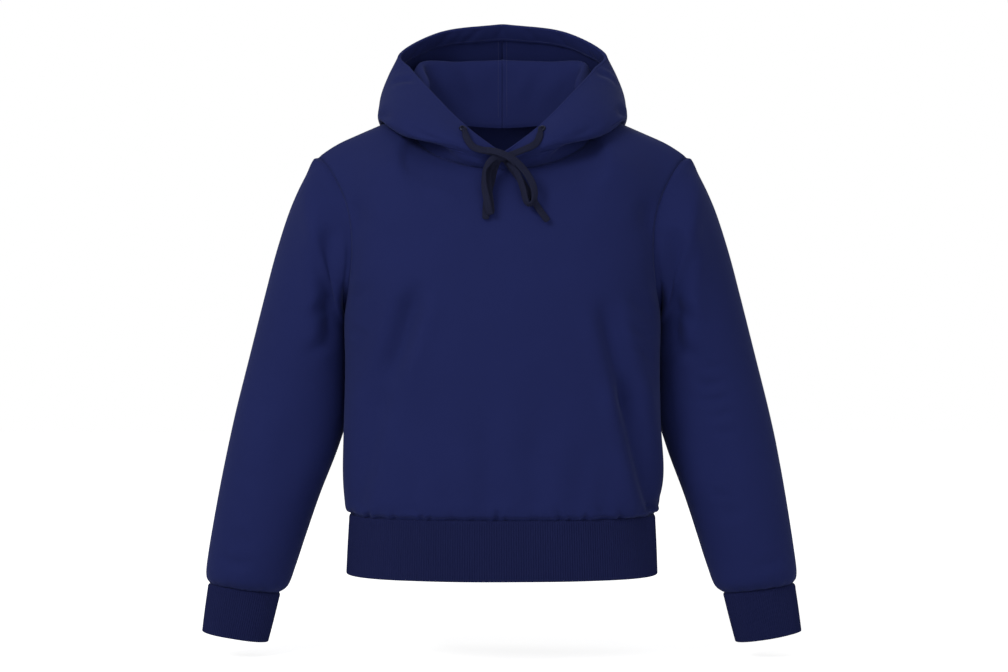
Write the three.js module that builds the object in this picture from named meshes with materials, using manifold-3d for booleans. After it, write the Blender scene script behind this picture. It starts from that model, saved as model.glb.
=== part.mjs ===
// Pullover hoodie, filled out as if worn, with nobody in it.
// Millimetres, +Z up, the front faces -Y, and the origin is between the shoulders,
// where a wearer's shoulders hold the garment up.
// Each cut and sewn piece is a closed wall with the cloth's thickness.
import * as THREE from 'three';
import { mergeVertices } from 'three/addons/utils/BufferGeometryUtils.js';
import Module from 'manifold-3d';

const wasm = await Module();
wasm.setup();

// Cloth and seams
const FLEECE = 2.4;
const RIB_WALL = 2.4;
const RIB_HEIGHT = 0.7;
const HEM_WALL = 1.8;
const SEAM_GAP = 0.3;

// Fine rib on the waistband and the cuffs
const WAIST_RIBS = 240;
const WAIST_PLAIN_SIDES = 80;
const CUFF_RIBS = 54;
const CUFF_PLAIN_SIDES = 27;

// Casing round the hood's opening, its eyelets and its cord
const CASING_WIDTH = 22;
const CASING_MOST = 0.8;
const EYELET_RADIUS = 5;
const EYELET_HOLE = 2.6;
const EYELET_THICKNESS = 1.6;
const EYELET_ROUND = 0.6;
const EYELET_SIDES = 16;
const EYELET_CLEARANCE = 0.3;
const CORD_RADIUS = 2.8;
const CORD_SIDES = 8;
const KNOT = { x: -2, y: -109, z: -16, wide: 10, deep: 6, tall: 7.5 };

const FLEECE_COLOUR = 0x1b2463;
const RIB_COLOUR = 0x171d50;
const CORD_COLOUR = 0x23263f;
const EYELET_COLOUR = 0x2b2f45;

// Shared by the body and the hood: grid steps over half a panel
const SHOULDER_STEPS = 4;
const NECK_STEPS = 6;
const HALF_STEPS = SHOULDER_STEPS + NECK_STEPS;

// Body sections under the arms, from the waistband seam up to the underarm.
// steps is how many rows of the wall lie between this section and the next.
const BODY_SECTIONS = [
  { z: -453, halfWidth: 190, front: 114, back: 106, steps: 1 },
  { z: -446, halfWidth: 195, front: 118, back: 110, steps: 1 },
  { z: -430, halfWidth: 197.5, front: 120, back: 111, steps: 2 },
  { z: -350, halfWidth: 196.5, front: 118, back: 108, steps: 3 },
  { z: -270, halfWidth: 196, front: 118, back: 108, steps: 2 },
  { z: -205, halfWidth: 196.5, front: 119, back: 111, steps: 2 },
];
// Mean distance between the rows above the underarm
const MEAN_RISE = 35;
// How far the sections are from an ellipse, towards a rectangle
const FRONT_SQUARENESS = 2.5;
const BACK_SQUARENESS = 2.25;

// Left half of the front above the underarm, a row for each level of the armhole.
// Columns run from the armhole over the shoulder to the neck and the middle.
const FRONT_ROWS = [
  { armhole: [-190, -44, -168], outer: [-172, -75, -166], middle: [-138, -99, -164],
    inner: [-96, -112, -164], near: [-49, -117, -165], centre: [0, -118, -166], steps: 2 },
  { armhole: [-186, -58, -130], outer: [-165, -81, -123], middle: [-133, -99, -118],
    inner: [-95, -110.5, -120], near: [-50, -115.5, -125], centre: [0, -116.5, -128], steps: 2 },
  { armhole: [-188, -58, -92], outer: [-163, -78, -76], middle: [-134, -93, -70],
    inner: [-100, -104.5, -80], near: [-55, -111, -92], centre: [0, -113, -98], steps: 1 },
  { armhole: [-196, -50, -62], outer: [-163, -70, -38], middle: [-134, -80, -26],
    inner: [-108, -92, -48], near: [-62, -104, -68], centre: [0, -108, -76], steps: 1 },
  { armhole: [-207, -37, -40], outer: [-164, -49, -8], middle: [-129, -52, 6],
    inner: [-112, -75, -26], near: [-65, -95, -50], centre: [0, -102, -60], steps: 1 },
  { armhole: [-219, -20, -23], outer: [-167, -22, 15], middle: [-121, -24, 31.5],
    inner: [-110, -56, -6], near: [-63, -85, -34], centre: [0, -96, -44], steps: 1 },
  { armhole: [-231, 2, -12], outer: [-171, 5, 23.5], middle: [-112, 8, 50],
    inner: [-104.6, -38, 7.5], near: [-57, -75, -21.5], centre: [0, -90, -30.5], steps: 0 },
];

// Left half of the back, with the same columns
const BACK_ROWS = [
  { armhole: [-187, 46, -168], outer: [-168, 69, -166], middle: [-134, 91, -164],
    inner: [-94, 104, -164], near: [-48, 111, -164], centre: [0, 113, -164], steps: 2 },
  { armhole: [-184, 60, -132], outer: [-161, 77, -125], middle: [-130, 94, -120],
    inner: [-94, 105.5, -119], near: [-48, 112.5, -119], centre: [0, 113.5, -119], steps: 2 },
  { armhole: [-187, 63, -96], outer: [-161, 78, -80], middle: [-130, 91.5, -70],
    inner: [-96, 101.5, -69], near: [-50, 109.5, -70], centre: [0, 111.5, -71], steps: 1 },
  { armhole: [-196, 54, -64], outer: [-162, 69, -40], middle: [-130, 78, -26],
    inner: [-98, 92, -26], near: [-52, 103, -27], centre: [0, 106, -28], steps: 1 },
  { armhole: [-206, 41, -41], outer: [-163, 51, -9], middle: [-127, 56, 11],
    inner: [-97, 76, 8], near: [-52, 93, 4], centre: [0, 98, 3], steps: 1 },
  { armhole: [-218, 23, -24], outer: [-167, 27, 15], middle: [-120, 32, 35],
    inner: [-93, 61, 29], near: [-49, 81, 25], centre: [0, 87, 23], steps: 1 },
  { armhole: [-231, 2, -12], outer: [-171, 5, 23.5], middle: [-112, 8, 50],
    inner: [-86, 47, 43], near: [-45, 67, 39], centre: [0, 74, 37], steps: 0 },
];

// Left sleeve, a ring for each row: where it is furthest out and furthest in, seen from
// the front, the middle of its depth and half of that depth.
const SLEEVE_RINGS = [
  { outX: -247.5, outZ: -33, inX: -201, inZ: -211, midY: 10, halfDepth: 72, steps: 1 },
  { outX: -266, outZ: -72, inX: -199.5, inZ: -226, midY: 17, halfDepth: 68, steps: 1 },
  { outX: -284, outZ: -125, inX: -198.5, inZ: -250, midY: 22, halfDepth: 65, steps: 1 },
  { outX: -299, outZ: -180, inX: -197.5, inZ: -285, midY: 25, halfDepth: 62, steps: 1 },
  { outX: -318, outZ: -255, inX: -197.5, inZ: -330, midY: 25, halfDepth: 58, steps: 2 },
  { outX: -336, outZ: -330, inX: -207, inZ: -370, midY: 19, halfDepth: 55, steps: 2 },
  { outX: -351, outZ: -405, inX: -228, inZ: -428, midY: 10, halfDepth: 51, steps: 1 },
  { outX: -362, outZ: -470, inX: -246, inZ: -482, midY: 1, halfDepth: 47, steps: 1 },
  { outX: -368.5, outZ: -515, inX: -259, inZ: -522, midY: -4, halfDepth: 42, steps: 1 },
  { outX: -369, outZ: -531, inX: -267, inZ: -543, midY: -6, halfDepth: 37, steps: 1 },
  { outX: -366, outZ: -540, inX: -277, inZ: -552, midY: -6, halfDepth: 27, steps: 0 },
];
const SLEEVE_SETBACK = 7;
const LEAN = { from: -360, to: -500, reach: 2.6 };

// Left cuff, from the sleeve down
const CUFF_RINGS = [
  { outX: -366, outZ: -540, inX: -277, inZ: -552, midY: -6, halfDepth: 27 },
  { outX: -374, outZ: -600, inX: -292.5, inZ: -613.5, midY: -7, halfDepth: 27 },
];

const WAIST_RINGS = [
  { z: -453, halfWidth: 190, front: 114, back: 106 },
  { z: -527, halfWidth: 193.5, front: 115, back: 108 },
];

// Left half of the hood, thrown back: each row is a section of the cloth from the neck
// seam to the opening. The cloth rises inside, turns over a fold, hangs down outside to
// a roll, and rises again to the opening. First row: middle of the front. Last row:
// seam down the middle of the back.
const HOOD_SECTIONS = [
  { seam: [0, -90, -30.5], rise: [0, -90.2, -29.4], fold: [0, -90.6, -28.3], over: [0, -91.1, -27.2],
    fall: [0, -91.7, -26.1], roll: [0, -92.4, -25], under: [0, -93.1, -23.9], flank: [0, -93.8, -22.6],
    top: [0, -94.5, -20.8], rim: [0, -96, -12] },
  { seam: [-57, -75, -21.5], rise: [-57.5, -79, -17], fold: [-58, -83, -13], over: [-59, -86, -10],
    fall: [-60, -90, -7], roll: [-61, -95, -4], under: [-61.5, -98.5, 0], flank: [-60, -97.5, 7],
    top: [-55.5, -92, 13.5], rim: [-43.7, -78, 22.1] },
  { seam: [-104.6, -38, 7.5], rise: [-97, -32, 23], fold: [-91, -25, 39], over: [-98, -30, 42],
    fall: [-109, -46, 27], roll: [-117, -60, 12], under: [-125, -62, 20], flank: [-123, -57, 37],
    top: [-107, -50, 54], rim: [-83.6, -42, 65.1] },
  { seam: [-112, 8, 50], rise: [-101, 9, 67], fold: [-92, 12, 82], over: [-101, 14, 86],
    fall: [-126, 10, 64], roll: [-149, 3, 39], under: [-155, 5, 43], flank: [-150, 12, 66],
    top: [-136, 13, 90], rim: [-114, 8, 102.3] },
  { seam: [-86, 47, 43], rise: [-94, 52, 80], fold: [-99, 59, 113], over: [-109, 70, 111],
    fall: [-118, 83, 62], roll: [-126, 98, 8], under: [-140, 101, 14], flank: [-149, 78, 60],
    top: [-141, 58, 99], rim: [-129.5, 50, 128.5] },
  { seam: [-45, 67, 39], rise: [-49, 76, 80], fold: [-54, 82, 116], over: [-58, 94, 114],
    fall: [-62, 107, 50], roll: [-70, 122, -26], under: [-80, 143, -24], flank: [-90, 145, 50],
    top: [-88, 117, 119], rim: [-78, 90, 161.5] },
  { seam: [0, 74, 37], rise: [0, 82, 80], fold: [0, 88, 118], over: [0, 100, 116],
    fall: [0, 112, 44], roll: [0, 126, -50], under: [0, 150, -50], flank: [0, 160, 40],
    top: [0, 134, 124], rim: [0, 105, 173.5] },
];
const HOOD_LEVELS = ['seam', 'rise', 'fold', 'over', 'fall', 'roll', 'under', 'flank', 'top'];
const HOOD_STEPS = [2, 2, 1, 2, 2, 1, 2, 2];
const HOOD_COLUMNS_PER_CHORD = 2;
const NECK_SETBACK = 0.75;

// Cord routes, chosen by hand: out of each eyelet, to the bow, round its loops and down
const CORD_LEFT = [
  [-47.9, -86.1, 21], [-47, -88.7, 22.3], [-46.3, -91.5, 21.2], [-45.5, -95, 17.2],
  [-44, -99.5, 10.5], [-41.3, -102.6, 3], [-36.5, -103.9, -3.5], [-29.5, -104.6, -9.5],
  [-19.5, -106.6, -14.8], [-8, -109, -17],
];
const CORD_RIGHT = [
  [47.9, -86.1, 21], [47, -88.7, 22.3], [46.4, -91.5, 21.1], [46, -95, 16.8],
  [45.6, -100.4, 9.5], [43.8, -103.5, 2], [39.2, -104, -5.5], [31.5, -104.2, -10.3],
  [21, -106, -15.5], [8, -108, -18],
];
const LOOP_LEFT = [
  [-7, -112, -18], [-15, -115, -24], [-20.5, -117.5, -34], [-21.8, -119, -46],
  [-20.8, -120, -58], [-18, -120.5, -70], [-15.5, -120.5, -80], [-13, -118.5, -86.5],
  [-11.5, -115.5, -83], [-12, -114.5, -72], [-13, -113, -58], [-13.3, -111.5, -44],
  [-12, -110.5, -32], [-5, -109.5, -21],
];
const LOOP_RIGHT = [
  [0, -114.5, -16.5], [8, -117, -19], [16, -117.8, -24], [23.5, -117.8, -31.5],
  [30, -118, -40], [35, -118.8, -49], [38, -120, -58.5], [38.2, -121.5, -67],
  [34.5, -122.5, -74], [29, -122, -75.5], [24.5, -120.5, -69], [21.5, -118.5, -58],
  [19, -116, -46], [16, -113.5, -36], [8, -110.5, -24],
];
const TAIL_LEFT = [
  [-4, -104, -19], [-9, -103.5, -30], [-13, -104.5, -46], [-17.5, -109, -64],
  [-19.5, -112.6, -80], [-19.8, -115.4, -93],
];
const TAIL_RIGHT = [
  [3, -104, -20], [12, -103.5, -32], [25, -106.5, -50], [37, -112, -70], [46, -116, -84],
  [54.5, -117.5, -95.5],
];
const CORD_STEPS = 14;
const LOOP_STEPS = 26;
const TAIL_STEPS = 13;

const vec = (p) => new THREE.Vector3(p[0], p[1], p[2]);
const lerp = (a, b, t) => a.clone().lerp(b, t);

// Smooth curve through points that stand at the given knots
function through(knots, points, t) {
  const last = points.length - 1;
  let k = 0;
  while (k < last - 1 && t > knots[k + 1]) k += 1;
  const slope = (i) => {
    const a = Math.max(i - 1, 0);
    const b = Math.min(i + 1, last);
    return points[b].clone().sub(points[a]).divideScalar(knots[b] - knots[a]);
  };
  const span = knots[k + 1] - knots[k];
  const s = (t - knots[k]) / span;
  const s2 = s * s;
  const s3 = s2 * s;
  return points[k].clone().multiplyScalar(2 * s3 - 3 * s2 + 1)
    .addScaledVector(slope(k), (s3 - 2 * s2 + s) * span)
    .addScaledVector(points[k + 1], 3 * s2 - 2 * s3)
    .addScaledVector(slope(k + 1), (s3 - s2) * span);
}

// Quarter of a rounded rectangle, from the side seam at y = 0 to the middle
function quarterSection(halfWidth, depth, squareness, steps) {
  const samples = 200;
  const power = 2 / squareness;
  const fine = [];
  const run = [0];
  for (let i = 0; i <= samples; i += 1) {
    const angle = (Math.PI / 2) * (i / samples);
    const x = -halfWidth * Math.cos(angle) ** power;
    fine.push([i === samples ? 0 : x, depth * Math.sin(angle) ** power]);
    if (i > 0) run.push(run[i - 1] + Math.hypot(fine[i][0] - fine[i - 1][0], fine[i][1] - fine[i - 1][1]));
  }
  const out = [];
  for (let j = 0; j <= steps; j += 1) {
    const want = run[samples] * (j / steps);
    let i = 1;
    while (i < samples && run[i] < want) i += 1;
    const s = (want - run[i - 1]) / (run[i] - run[i - 1]);
    out.push([
      fine[i - 1][0] + (fine[i][0] - fine[i - 1][0]) * s,
      fine[i - 1][1] + (fine[i][1] - fine[i - 1][1]) * s,
    ]);
  }
  return out;
}

// Rows of the left half of a body panel, then the whole panel with its mirror image
function bodyPanel(upperRows, side) {
  const controls = BODY_SECTIONS.map((section) => {
    const depth = side < 0 ? section.front : section.back;
    const squareness = side < 0 ? FRONT_SQUARENESS : BACK_SQUARENESS;
    return quarterSection(section.halfWidth, depth, squareness, HALF_STEPS)
      .map(([x, y]) => new THREE.Vector3(x, side * y, section.z));
  });
  const columnKnots = [0, 2, 4, 6, 8, 10];
  for (const row of upperRows) {
    const points = [row.armhole, row.outer, row.middle, row.inner, row.near, row.centre].map(vec);
    const line = [];
    for (let j = 0; j <= HALF_STEPS; j += 1) {
      const isTop = row.steps === 0;
      if (isTop && j <= SHOULDER_STEPS) {
        line.push(through(columnKnots.slice(0, 3), points.slice(0, 3), j));
      } else if (isTop) {
        const necks = points.slice(2);
        const ghost = necks[2].clone();
        ghost.x = -ghost.x;
        line.push(through([4, 6, 8, 10, 12], [...necks, ghost], j));
      } else {
        const ghost = points[4].clone();
        ghost.x = -ghost.x;
        line.push(through([...columnKnots, 12], [...points, ghost], j));
      }
    }
    controls.push(line);
  }
  const steps = [...BODY_SECTIONS, ...upperRows].map((row) => row.steps);
  // knots follow the side, so that both panels have the same rows along their shared seams
  const knots = [0];
  for (let i = 1; i < controls.length; i += 1) {
    const middle = FRONT_ROWS[i - BODY_SECTIONS.length];
    const rise = middle ? MEAN_RISE : BODY_SECTIONS[i].z - BODY_SECTIONS[i - 1].z;
    knots.push(knots[i - 1] + rise);
  }
  const underarm = BODY_SECTIONS.length;
  const rows = [];
  for (let i = 0; i < controls.length; i += 1) {
    const count = Math.max(steps[i], 1);
    for (let s = 0; s < count; s += 1) {
      const t = i + 1 < controls.length ? knots[i] + (knots[i + 1] - knots[i]) * (s / count) : knots[i];
      const half = [];
      for (let j = 0; j <= HALF_STEPS; j += 1) {
        const below = j === 0 && t <= knots[underarm - 1];
        half.push(below
          ? through(knots.slice(0, underarm), controls.slice(0, underarm).map((line) => line[j]), t)
          : through(knots, controls.map((line) => line[j]), t));
      }
      const mirrored = half.slice(0, HALF_STEPS).reverse().map((p) => new THREE.Vector3(-p.x, p.y, p.z));
      half[HALF_STEPS].x = 0;
      rows.push([...half, ...mirrored]);
    }
  }
  return rows;
}

// Directions square to a grid, pointing out of the garment
function normals(grid, sign, closed = false) {
  const rows = grid.length;
  const columns = grid[0].length;
  return grid.map((row, i) => row.map((point, j) => {
    const left = closed ? row[(j + columns - 1) % columns] : row[Math.max(j - 1, 0)];
    const right = closed ? row[(j + 1) % columns] : row[Math.min(j + 1, columns - 1)];
    const below = grid[Math.max(i - 1, 0)][j];
    const above = grid[Math.min(i + 1, rows - 1)][j];
    const across = right.clone().sub(left);
    const up = above.clone().sub(below);
    return across.cross(up).multiplyScalar(sign).normalize();
  }));
}

const shifted = (grid, directions, amount) =>
  grid.map((row, i) => row.map((p, j) => p.clone().addScaledVector(directions[i][j], amount)));

// Moves the edge of a wall back from its seam, both faces alike
function clearSeam(outer, inner, edge, amount = SEAM_GAP / 2) {
  const rows = outer.length;
  const columns = outer[0].length;
  const pull = (i, j, ni, nj) => {
    const step = outer[ni][nj].clone().sub(outer[i][j]).normalize().multiplyScalar(amount);
    outer[i][j].add(step);
    inner[i][j].add(step);
  };
  if (edge === 'bottom') for (let j = 0; j < columns; j += 1) pull(0, j, 1, j);
  if (edge === 'top') for (let j = 0; j < columns; j += 1) pull(rows - 1, j, rows - 2, j);
  if (edge === 'left') for (let i = 0; i < rows; i += 1) pull(i, 0, i, 1);
  if (edge === 'right') for (let i = 0; i < rows; i += 1) pull(i, columns - 1, i, columns - 2);
}

// Closed solid from faces given as lists of triangles of points
function solid(triangles) {
  const positions = new Float32Array(triangles.length * 9);
  triangles.forEach((triangle, i) => triangle.forEach((p, k) => p.toArray(positions, i * 9 + k * 3)));
  let geometry = new THREE.BufferGeometry();
  geometry.setAttribute('position', new THREE.BufferAttribute(positions, 3));
  geometry = mergeVertices(geometry, 1e-4);
  return outward(geometry);
}

// Turns a closed body's faces so that they point out
function outward(geometry) {
  const p = geometry.attributes.position;
  const index = geometry.index.array;
  const a = new THREE.Vector3();
  const b = new THREE.Vector3();
  const c = new THREE.Vector3();
  let volume = 0;
  for (let i = 0; i < index.length; i += 3) {
    a.fromBufferAttribute(p, index[i]);
    b.fromBufferAttribute(p, index[i + 1]);
    c.fromBufferAttribute(p, index[i + 2]);
    volume += a.dot(b.cross(c));
  }
  if (volume < 0) {
    for (let i = 0; i < index.length; i += 3) {
      const keep = index[i];
      index[i] = index[i + 1];
      index[i + 1] = keep;
    }
  }
  return geometry;
}

// Two triangles, split along the shorter diagonal, so that facing edges split alike
function quad(list, a, b, c, d) {
  if (a.distanceTo(c) <= b.distanceTo(d)) list.push([a, b, c], [a, c, d]);
  else list.push([a, b, d], [b, c, d]);
}

// Wall between two open grids of the same size. Both faces are split along the same
// diagonals, which change hands at the mirror column of a panel with two like halves.
function sheetWall(outer, inner, mirrorColumn = Infinity) {
  const list = [];
  const rows = outer.length;
  const columns = outer[0].length;
  for (let i = 0; i + 1 < rows; i += 1) {
    for (let j = 0; j + 1 < columns; j += 1) {
      for (const grid of [outer, inner]) {
        const [a, b, c, d] = [grid[i][j], grid[i][j + 1], grid[i + 1][j + 1], grid[i + 1][j]];
        const faces = j < mirrorColumn ? [[a, b, c], [a, c, d]] : [[a, b, d], [b, c, d]];
        for (const [p, q, r] of faces) list.push(grid === outer ? [p, q, r] : [r, q, p]);
      }
    }
  }
  for (let j = 0; j + 1 < columns; j += 1) {
    quad(list, inner[0][j], inner[0][j + 1], outer[0][j + 1], outer[0][j]);
    const k = rows - 1;
    quad(list, outer[k][j], outer[k][j + 1], inner[k][j + 1], inner[k][j]);
  }
  for (let i = 0; i + 1 < rows; i += 1) {
    quad(list, outer[i][0], outer[i + 1][0], inner[i + 1][0], inner[i][0]);
    const k = columns - 1;
    quad(list, inner[i][k], inner[i + 1][k], outer[i + 1][k], outer[i][k]);
  }
  return solid(list);
}

// Wall between two tubes of rings; the outer rings may have more points than the inner
function tubeWall(outer, inner) {
  const list = [];
  const around = (rings, flip) => {
    for (let i = 0; i + 1 < rings.length; i += 1) {
      const count = rings[i].length;
      for (let j = 0; j < count; j += 1) {
        const k = (j + 1) % count;
        const [a, b, c, d] = [rings[i][j], rings[i][k], rings[i + 1][k], rings[i + 1][j]];
        if (flip) list.push([c, b, a], [d, c, a]);
        else list.push([a, b, c], [a, c, d]);
      }
    }
  };
  around(outer, false);
  around(inner, true);
  const ratio = outer[0].length / inner[0].length;
  const close = (ring, lining, flip) => {
    for (let k = 0; k < lining.length; k += 1) {
      const next = (k + 1) % lining.length;
      if (ratio === 1) {
        if (flip) quad(list, ring[k], ring[next], lining[next], lining[k]);
        else quad(list, lining[k], lining[next], ring[next], ring[k]);
        continue;
      }
      const half = Math.ceil(ratio / 2);
      const face = (a, b, c) => list.push(flip ? [c, b, a] : [a, b, c]);
      for (let s = 0; s < ratio; s += 1) {
        const j = k * ratio + s;
        const pivot = s < half ? lining[k] : lining[next];
        face(pivot, ring[(j + 1) % ring.length], ring[j]);
      }
      face(lining[k], lining[next], ring[(k * ratio + half) % ring.length]);
    }
  };
  close(outer[0], inner[0], false);
  close(outer[outer.length - 1], inner[inner.length - 1], true);
  return solid(list);
}

// The right sleeve hangs a little nearer to the body than the left one
function leanAt(z) {
  const down = (LEAN.from - z) / (LEAN.from - LEAN.to);
  return LEAN.reach * Math.min(Math.max(down, 0), 1);
}
const mirror = (grid) => grid.map((row) => row.map((p) => new THREE.Vector3(-p.x, p.y, p.z)));
const rightArm = (grid) =>
  grid.map((row) => row.map((p) => new THREE.Vector3(-p.x - leanAt(p.z), p.y, p.z)));

const group = new THREE.Group();
const fleece = () => new THREE.MeshStandardMaterial({ color: FLEECE_COLOUR, roughness: 0.85, metalness: 0 });
const rib = () => new THREE.MeshStandardMaterial({ color: RIB_COLOUR, roughness: 0.9, metalness: 0 });
const braid = () => new THREE.MeshStandardMaterial({ color: CORD_COLOUR, roughness: 0.9, metalness: 0 });
const metal = () => new THREE.MeshStandardMaterial({
  color: EYELET_COLOUR, roughness: 0.35, metalness: 0.9,
});

function add(name, geometry, material) {
  geometry.computeVertexNormals();
  const mesh = new THREE.Mesh(geometry, material);
  mesh.name = name;
  group.add(mesh);
}

// Body: both panels, with the same inner face where they share a seam
const frontOuter = bodyPanel(FRONT_ROWS, -1);
const backOuter = bodyPanel(BACK_ROWS, 1);
const UNDERARM_ROW = BODY_SECTIONS.slice(0, -1).reduce((sum, section) => sum + section.steps, 0);
const TOP_ROW = frontOuter.length - 1;
const WIDE = 2 * HALF_STEPS;
const frontOut = normals(frontOuter, 1);
const backOut = normals(backOuter, -1);
function share(i, j) {
  const mean = frontOut[i][j].clone().add(backOut[i][j]).normalize();
  frontOut[i][j].copy(mean);
  backOut[i][j].copy(mean);
}
for (let i = 0; i <= UNDERARM_ROW; i += 1) {
  share(i, 0);
  share(i, WIDE);
}
for (let j = 0; j <= SHOULDER_STEPS; j += 1) {
  share(TOP_ROW, j);
  share(TOP_ROW, WIDE - j);
}
// The cloth's edge turns evenly along the neck
for (const directions of [frontOut, backOut]) {
  const row = directions[TOP_ROW].map((n) => n.clone());
  for (let j = SHOULDER_STEPS + 1; j < WIDE - SHOULDER_STEPS; j += 1) {
    directions[TOP_ROW][j].copy(row[j - 1]).add(row[j]).add(row[j]).add(row[j + 1]).normalize();
  }
}
// The waistband seam lies in one level plane
for (let j = 0; j <= WIDE; j += 1) {
  for (const directions of [frontOut, backOut]) directions[0][j].setZ(0).normalize();
}
const frontInner = shifted(frontOuter, frontOut, -FLEECE);
const backInner = shifted(backOuter, backOut, -FLEECE);

// Left armhole, from the shoulder down the front to the underarm and up the back,
// as outer and inner points and the direction in which the panel's cloth runs on
const armhole = [];
function armholePoint(outer, inner, i) {
  armhole.push({
    out: outer[i][0].clone(),
    lining: inner[i][0].clone(),
    onward: outer[i][0].clone().sub(outer[i][1]).normalize(),
    setback: outer[i][0].clone().sub(outer[i][1]).normalize().multiplyScalar(SEAM_GAP / 2),
  });
}
for (let i = TOP_ROW; i >= UNDERARM_ROW; i -= 1) armholePoint(frontOuter, frontInner, i);
for (let i = UNDERARM_ROW + 1; i < TOP_ROW; i += 1) armholePoint(backOuter, backInner, i);
const ARM_STEPS = armhole.length;
// near the underarm the sleeve first runs up and out of the seam, then turns down
const UNDERARM_LIFT = [1, 0.8, 0.4];
UNDERARM_LIFT.forEach((lift, k) => {
  for (const j of [ARM_STEPS / 2 - k, ARM_STEPS / 2 + k]) {
    if (k === 0) {
      armhole[j].onward.set(-0.3, 0, 1);
      armhole[j].setback.set(0, 0, SEAM_GAP / 2);
    }
    if (k > 0) armhole[j].onward.add(new THREE.Vector3(0, 0, lift)).normalize();
  }
});

// Left half of the neck, from the middle of the front to the middle of the back
const neck = [];
function neckPoint(outer, inner, j) {
  const onward = outer[TOP_ROW][j].clone().sub(outer[TOP_ROW - 1][j]).normalize();
  if (j === SHOULDER_STEPS) onward.copy(outer[TOP_ROW][j]).sub(outer[TOP_ROW][j - 1]).normalize();
  neck.push({ out: outer[TOP_ROW][j].clone(), lining: inner[TOP_ROW][j].clone(), onward });
}
for (let j = HALF_STEPS; j >= SHOULDER_STEPS; j -= 1) neckPoint(frontOuter, frontInner, j);
for (let j = SHOULDER_STEPS + 1; j <= HALF_STEPS; j += 1) neckPoint(backOuter, backInner, j);

for (const [outer, inner, name] of [[frontOuter, frontInner, 'front'], [backOuter, backInner, 'back']]) {
  for (const edge of ['bottom', 'top', 'left', 'right']) clearSeam(outer, inner, edge);
  add(name, sheetWall(outer, inner, HALF_STEPS), fleece());
}

// Sleeves
function ringPoint(ring, angle) {
  const out = new THREE.Vector3(ring.outX, ring.midY, ring.outZ);
  const inside = new THREE.Vector3(ring.inX, ring.midY, ring.inZ);
  const middle = lerp(out, inside, 0.5);
  return middle.addScaledVector(out.sub(inside), Math.cos(angle) / 2)
    .add(new THREE.Vector3(0, -ring.halfDepth * Math.sin(angle), 0));
}
const sleeveControls = [
  armhole.map((p) => p.out.clone()),
  armhole.map((p) => p.out.clone().addScaledVector(
    p.onward.clone().add(new THREE.Vector3(-1, 0, 0)).normalize(), SLEEVE_SETBACK)),
  ...SLEEVE_RINGS.map((ring) => armhole.map((p, j) => ringPoint(ring, (2 * Math.PI * j) / ARM_STEPS))),
];
const sleeveSteps = [1, 1, ...SLEEVE_RINGS.map((ring) => ring.steps)];
const sleeveKnots = [0];
for (let i = 1; i < sleeveControls.length; i += 1) {
  let sum = 0;
  for (let j = 0; j < ARM_STEPS; j += 1) sum += sleeveControls[i][j].distanceTo(sleeveControls[i - 1][j]);
  sleeveKnots.push(sleeveKnots[i - 1] + sum / ARM_STEPS);
}
const sleeveOuter = [];
for (let i = 0; i < sleeveControls.length; i += 1) {
  const count = Math.max(sleeveSteps[i], 1);
  for (let s = 0; s < count; s += 1) {
    const next = Math.min(i + 1, sleeveControls.length - 1);
    const t = sleeveKnots[i] + (sleeveKnots[next] - sleeveKnots[i]) * (s / count);
    sleeveOuter.push(armhole.map((p, j) => (s === 0 ? sleeveControls[i][j].clone()
      : through(sleeveKnots, sleeveControls.map((ringPoints) => ringPoints[j]), t))));
  }
}
const cuffSeam = CUFF_RINGS[0];
const cuffAxis = new THREE.Vector3(cuffSeam.outX - cuffSeam.inX, 0, cuffSeam.outZ - cuffSeam.inZ)
  .cross(new THREE.Vector3(0, 1, 0)).normalize();
if (cuffAxis.z > 0) cuffAxis.negate();
const sleeveOut = normals(sleeveOuter, 1, true);
const lastRing = sleeveOuter.length - 1;
sleeveOut[lastRing].forEach((n) => n.addScaledVector(cuffAxis, -n.dot(cuffAxis)).normalize());
// the middle of one ring tells which way is out
const probeRing = SLEEVE_RINGS[5];
const sleeveMiddle = ringPoint(probeRing, 0).lerp(ringPoint(probeRing, Math.PI), 0.5);
const probe = sleeveOuter.findIndex((points) => Math.abs(points[0].z - probeRing.outZ) < 1);
const facing = Math.sign(sleeveOut[probe][0].dot(sleeveOuter[probe][0].clone().sub(sleeveMiddle)));
const sleeveInner = shifted(sleeveOuter, sleeveOut, -FLEECE * facing);
sleeveInner[0] = armhole.map((p) => p.lining.clone().add(p.setback));
sleeveOuter[0] = armhole.map((p) => p.out.clone().add(p.setback));
for (const p of [...sleeveOuter[lastRing], ...sleeveInner[lastRing]]) {
  p.addScaledVector(cuffAxis, -SEAM_GAP / 2);
}
add('sleeve_left', tubeWall(sleeveOuter, sleeveInner), fleece());
add('sleeve_right', tubeWall(rightArm(sleeveOuter), rightArm(sleeveInner)), fleece());

// Small turn for reading the direction of a ring
const TURN = 0.01;

// Ribbed tubes: every second outer point stands out by the height of a rib
function ribRing(pointAt, count, height) {
  const ring = [];
  for (let j = 0; j < count; j += 1) {
    const angle = (2 * Math.PI * j) / count;
    const before = pointAt(angle - TURN);
    const after = pointAt(angle + TURN);
    const p = pointAt(angle);
    const out = after.sub(before).cross(pointAt.axis).normalize();
    ring.push(p.addScaledVector(out, j % 2 === 0 ? 0 : height));
  }
  return ring;
}
function plainRing(pointAt, count, thickness) {
  const ring = [];
  for (let j = 0; j < count; j += 1) {
    const angle = (2 * Math.PI * j) / count;
    const out = pointAt(angle + TURN).sub(pointAt(angle - TURN)).cross(pointAt.axis).normalize();
    ring.push(pointAt(angle).addScaledVector(out, -thickness));
  }
  return ring;
}

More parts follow.
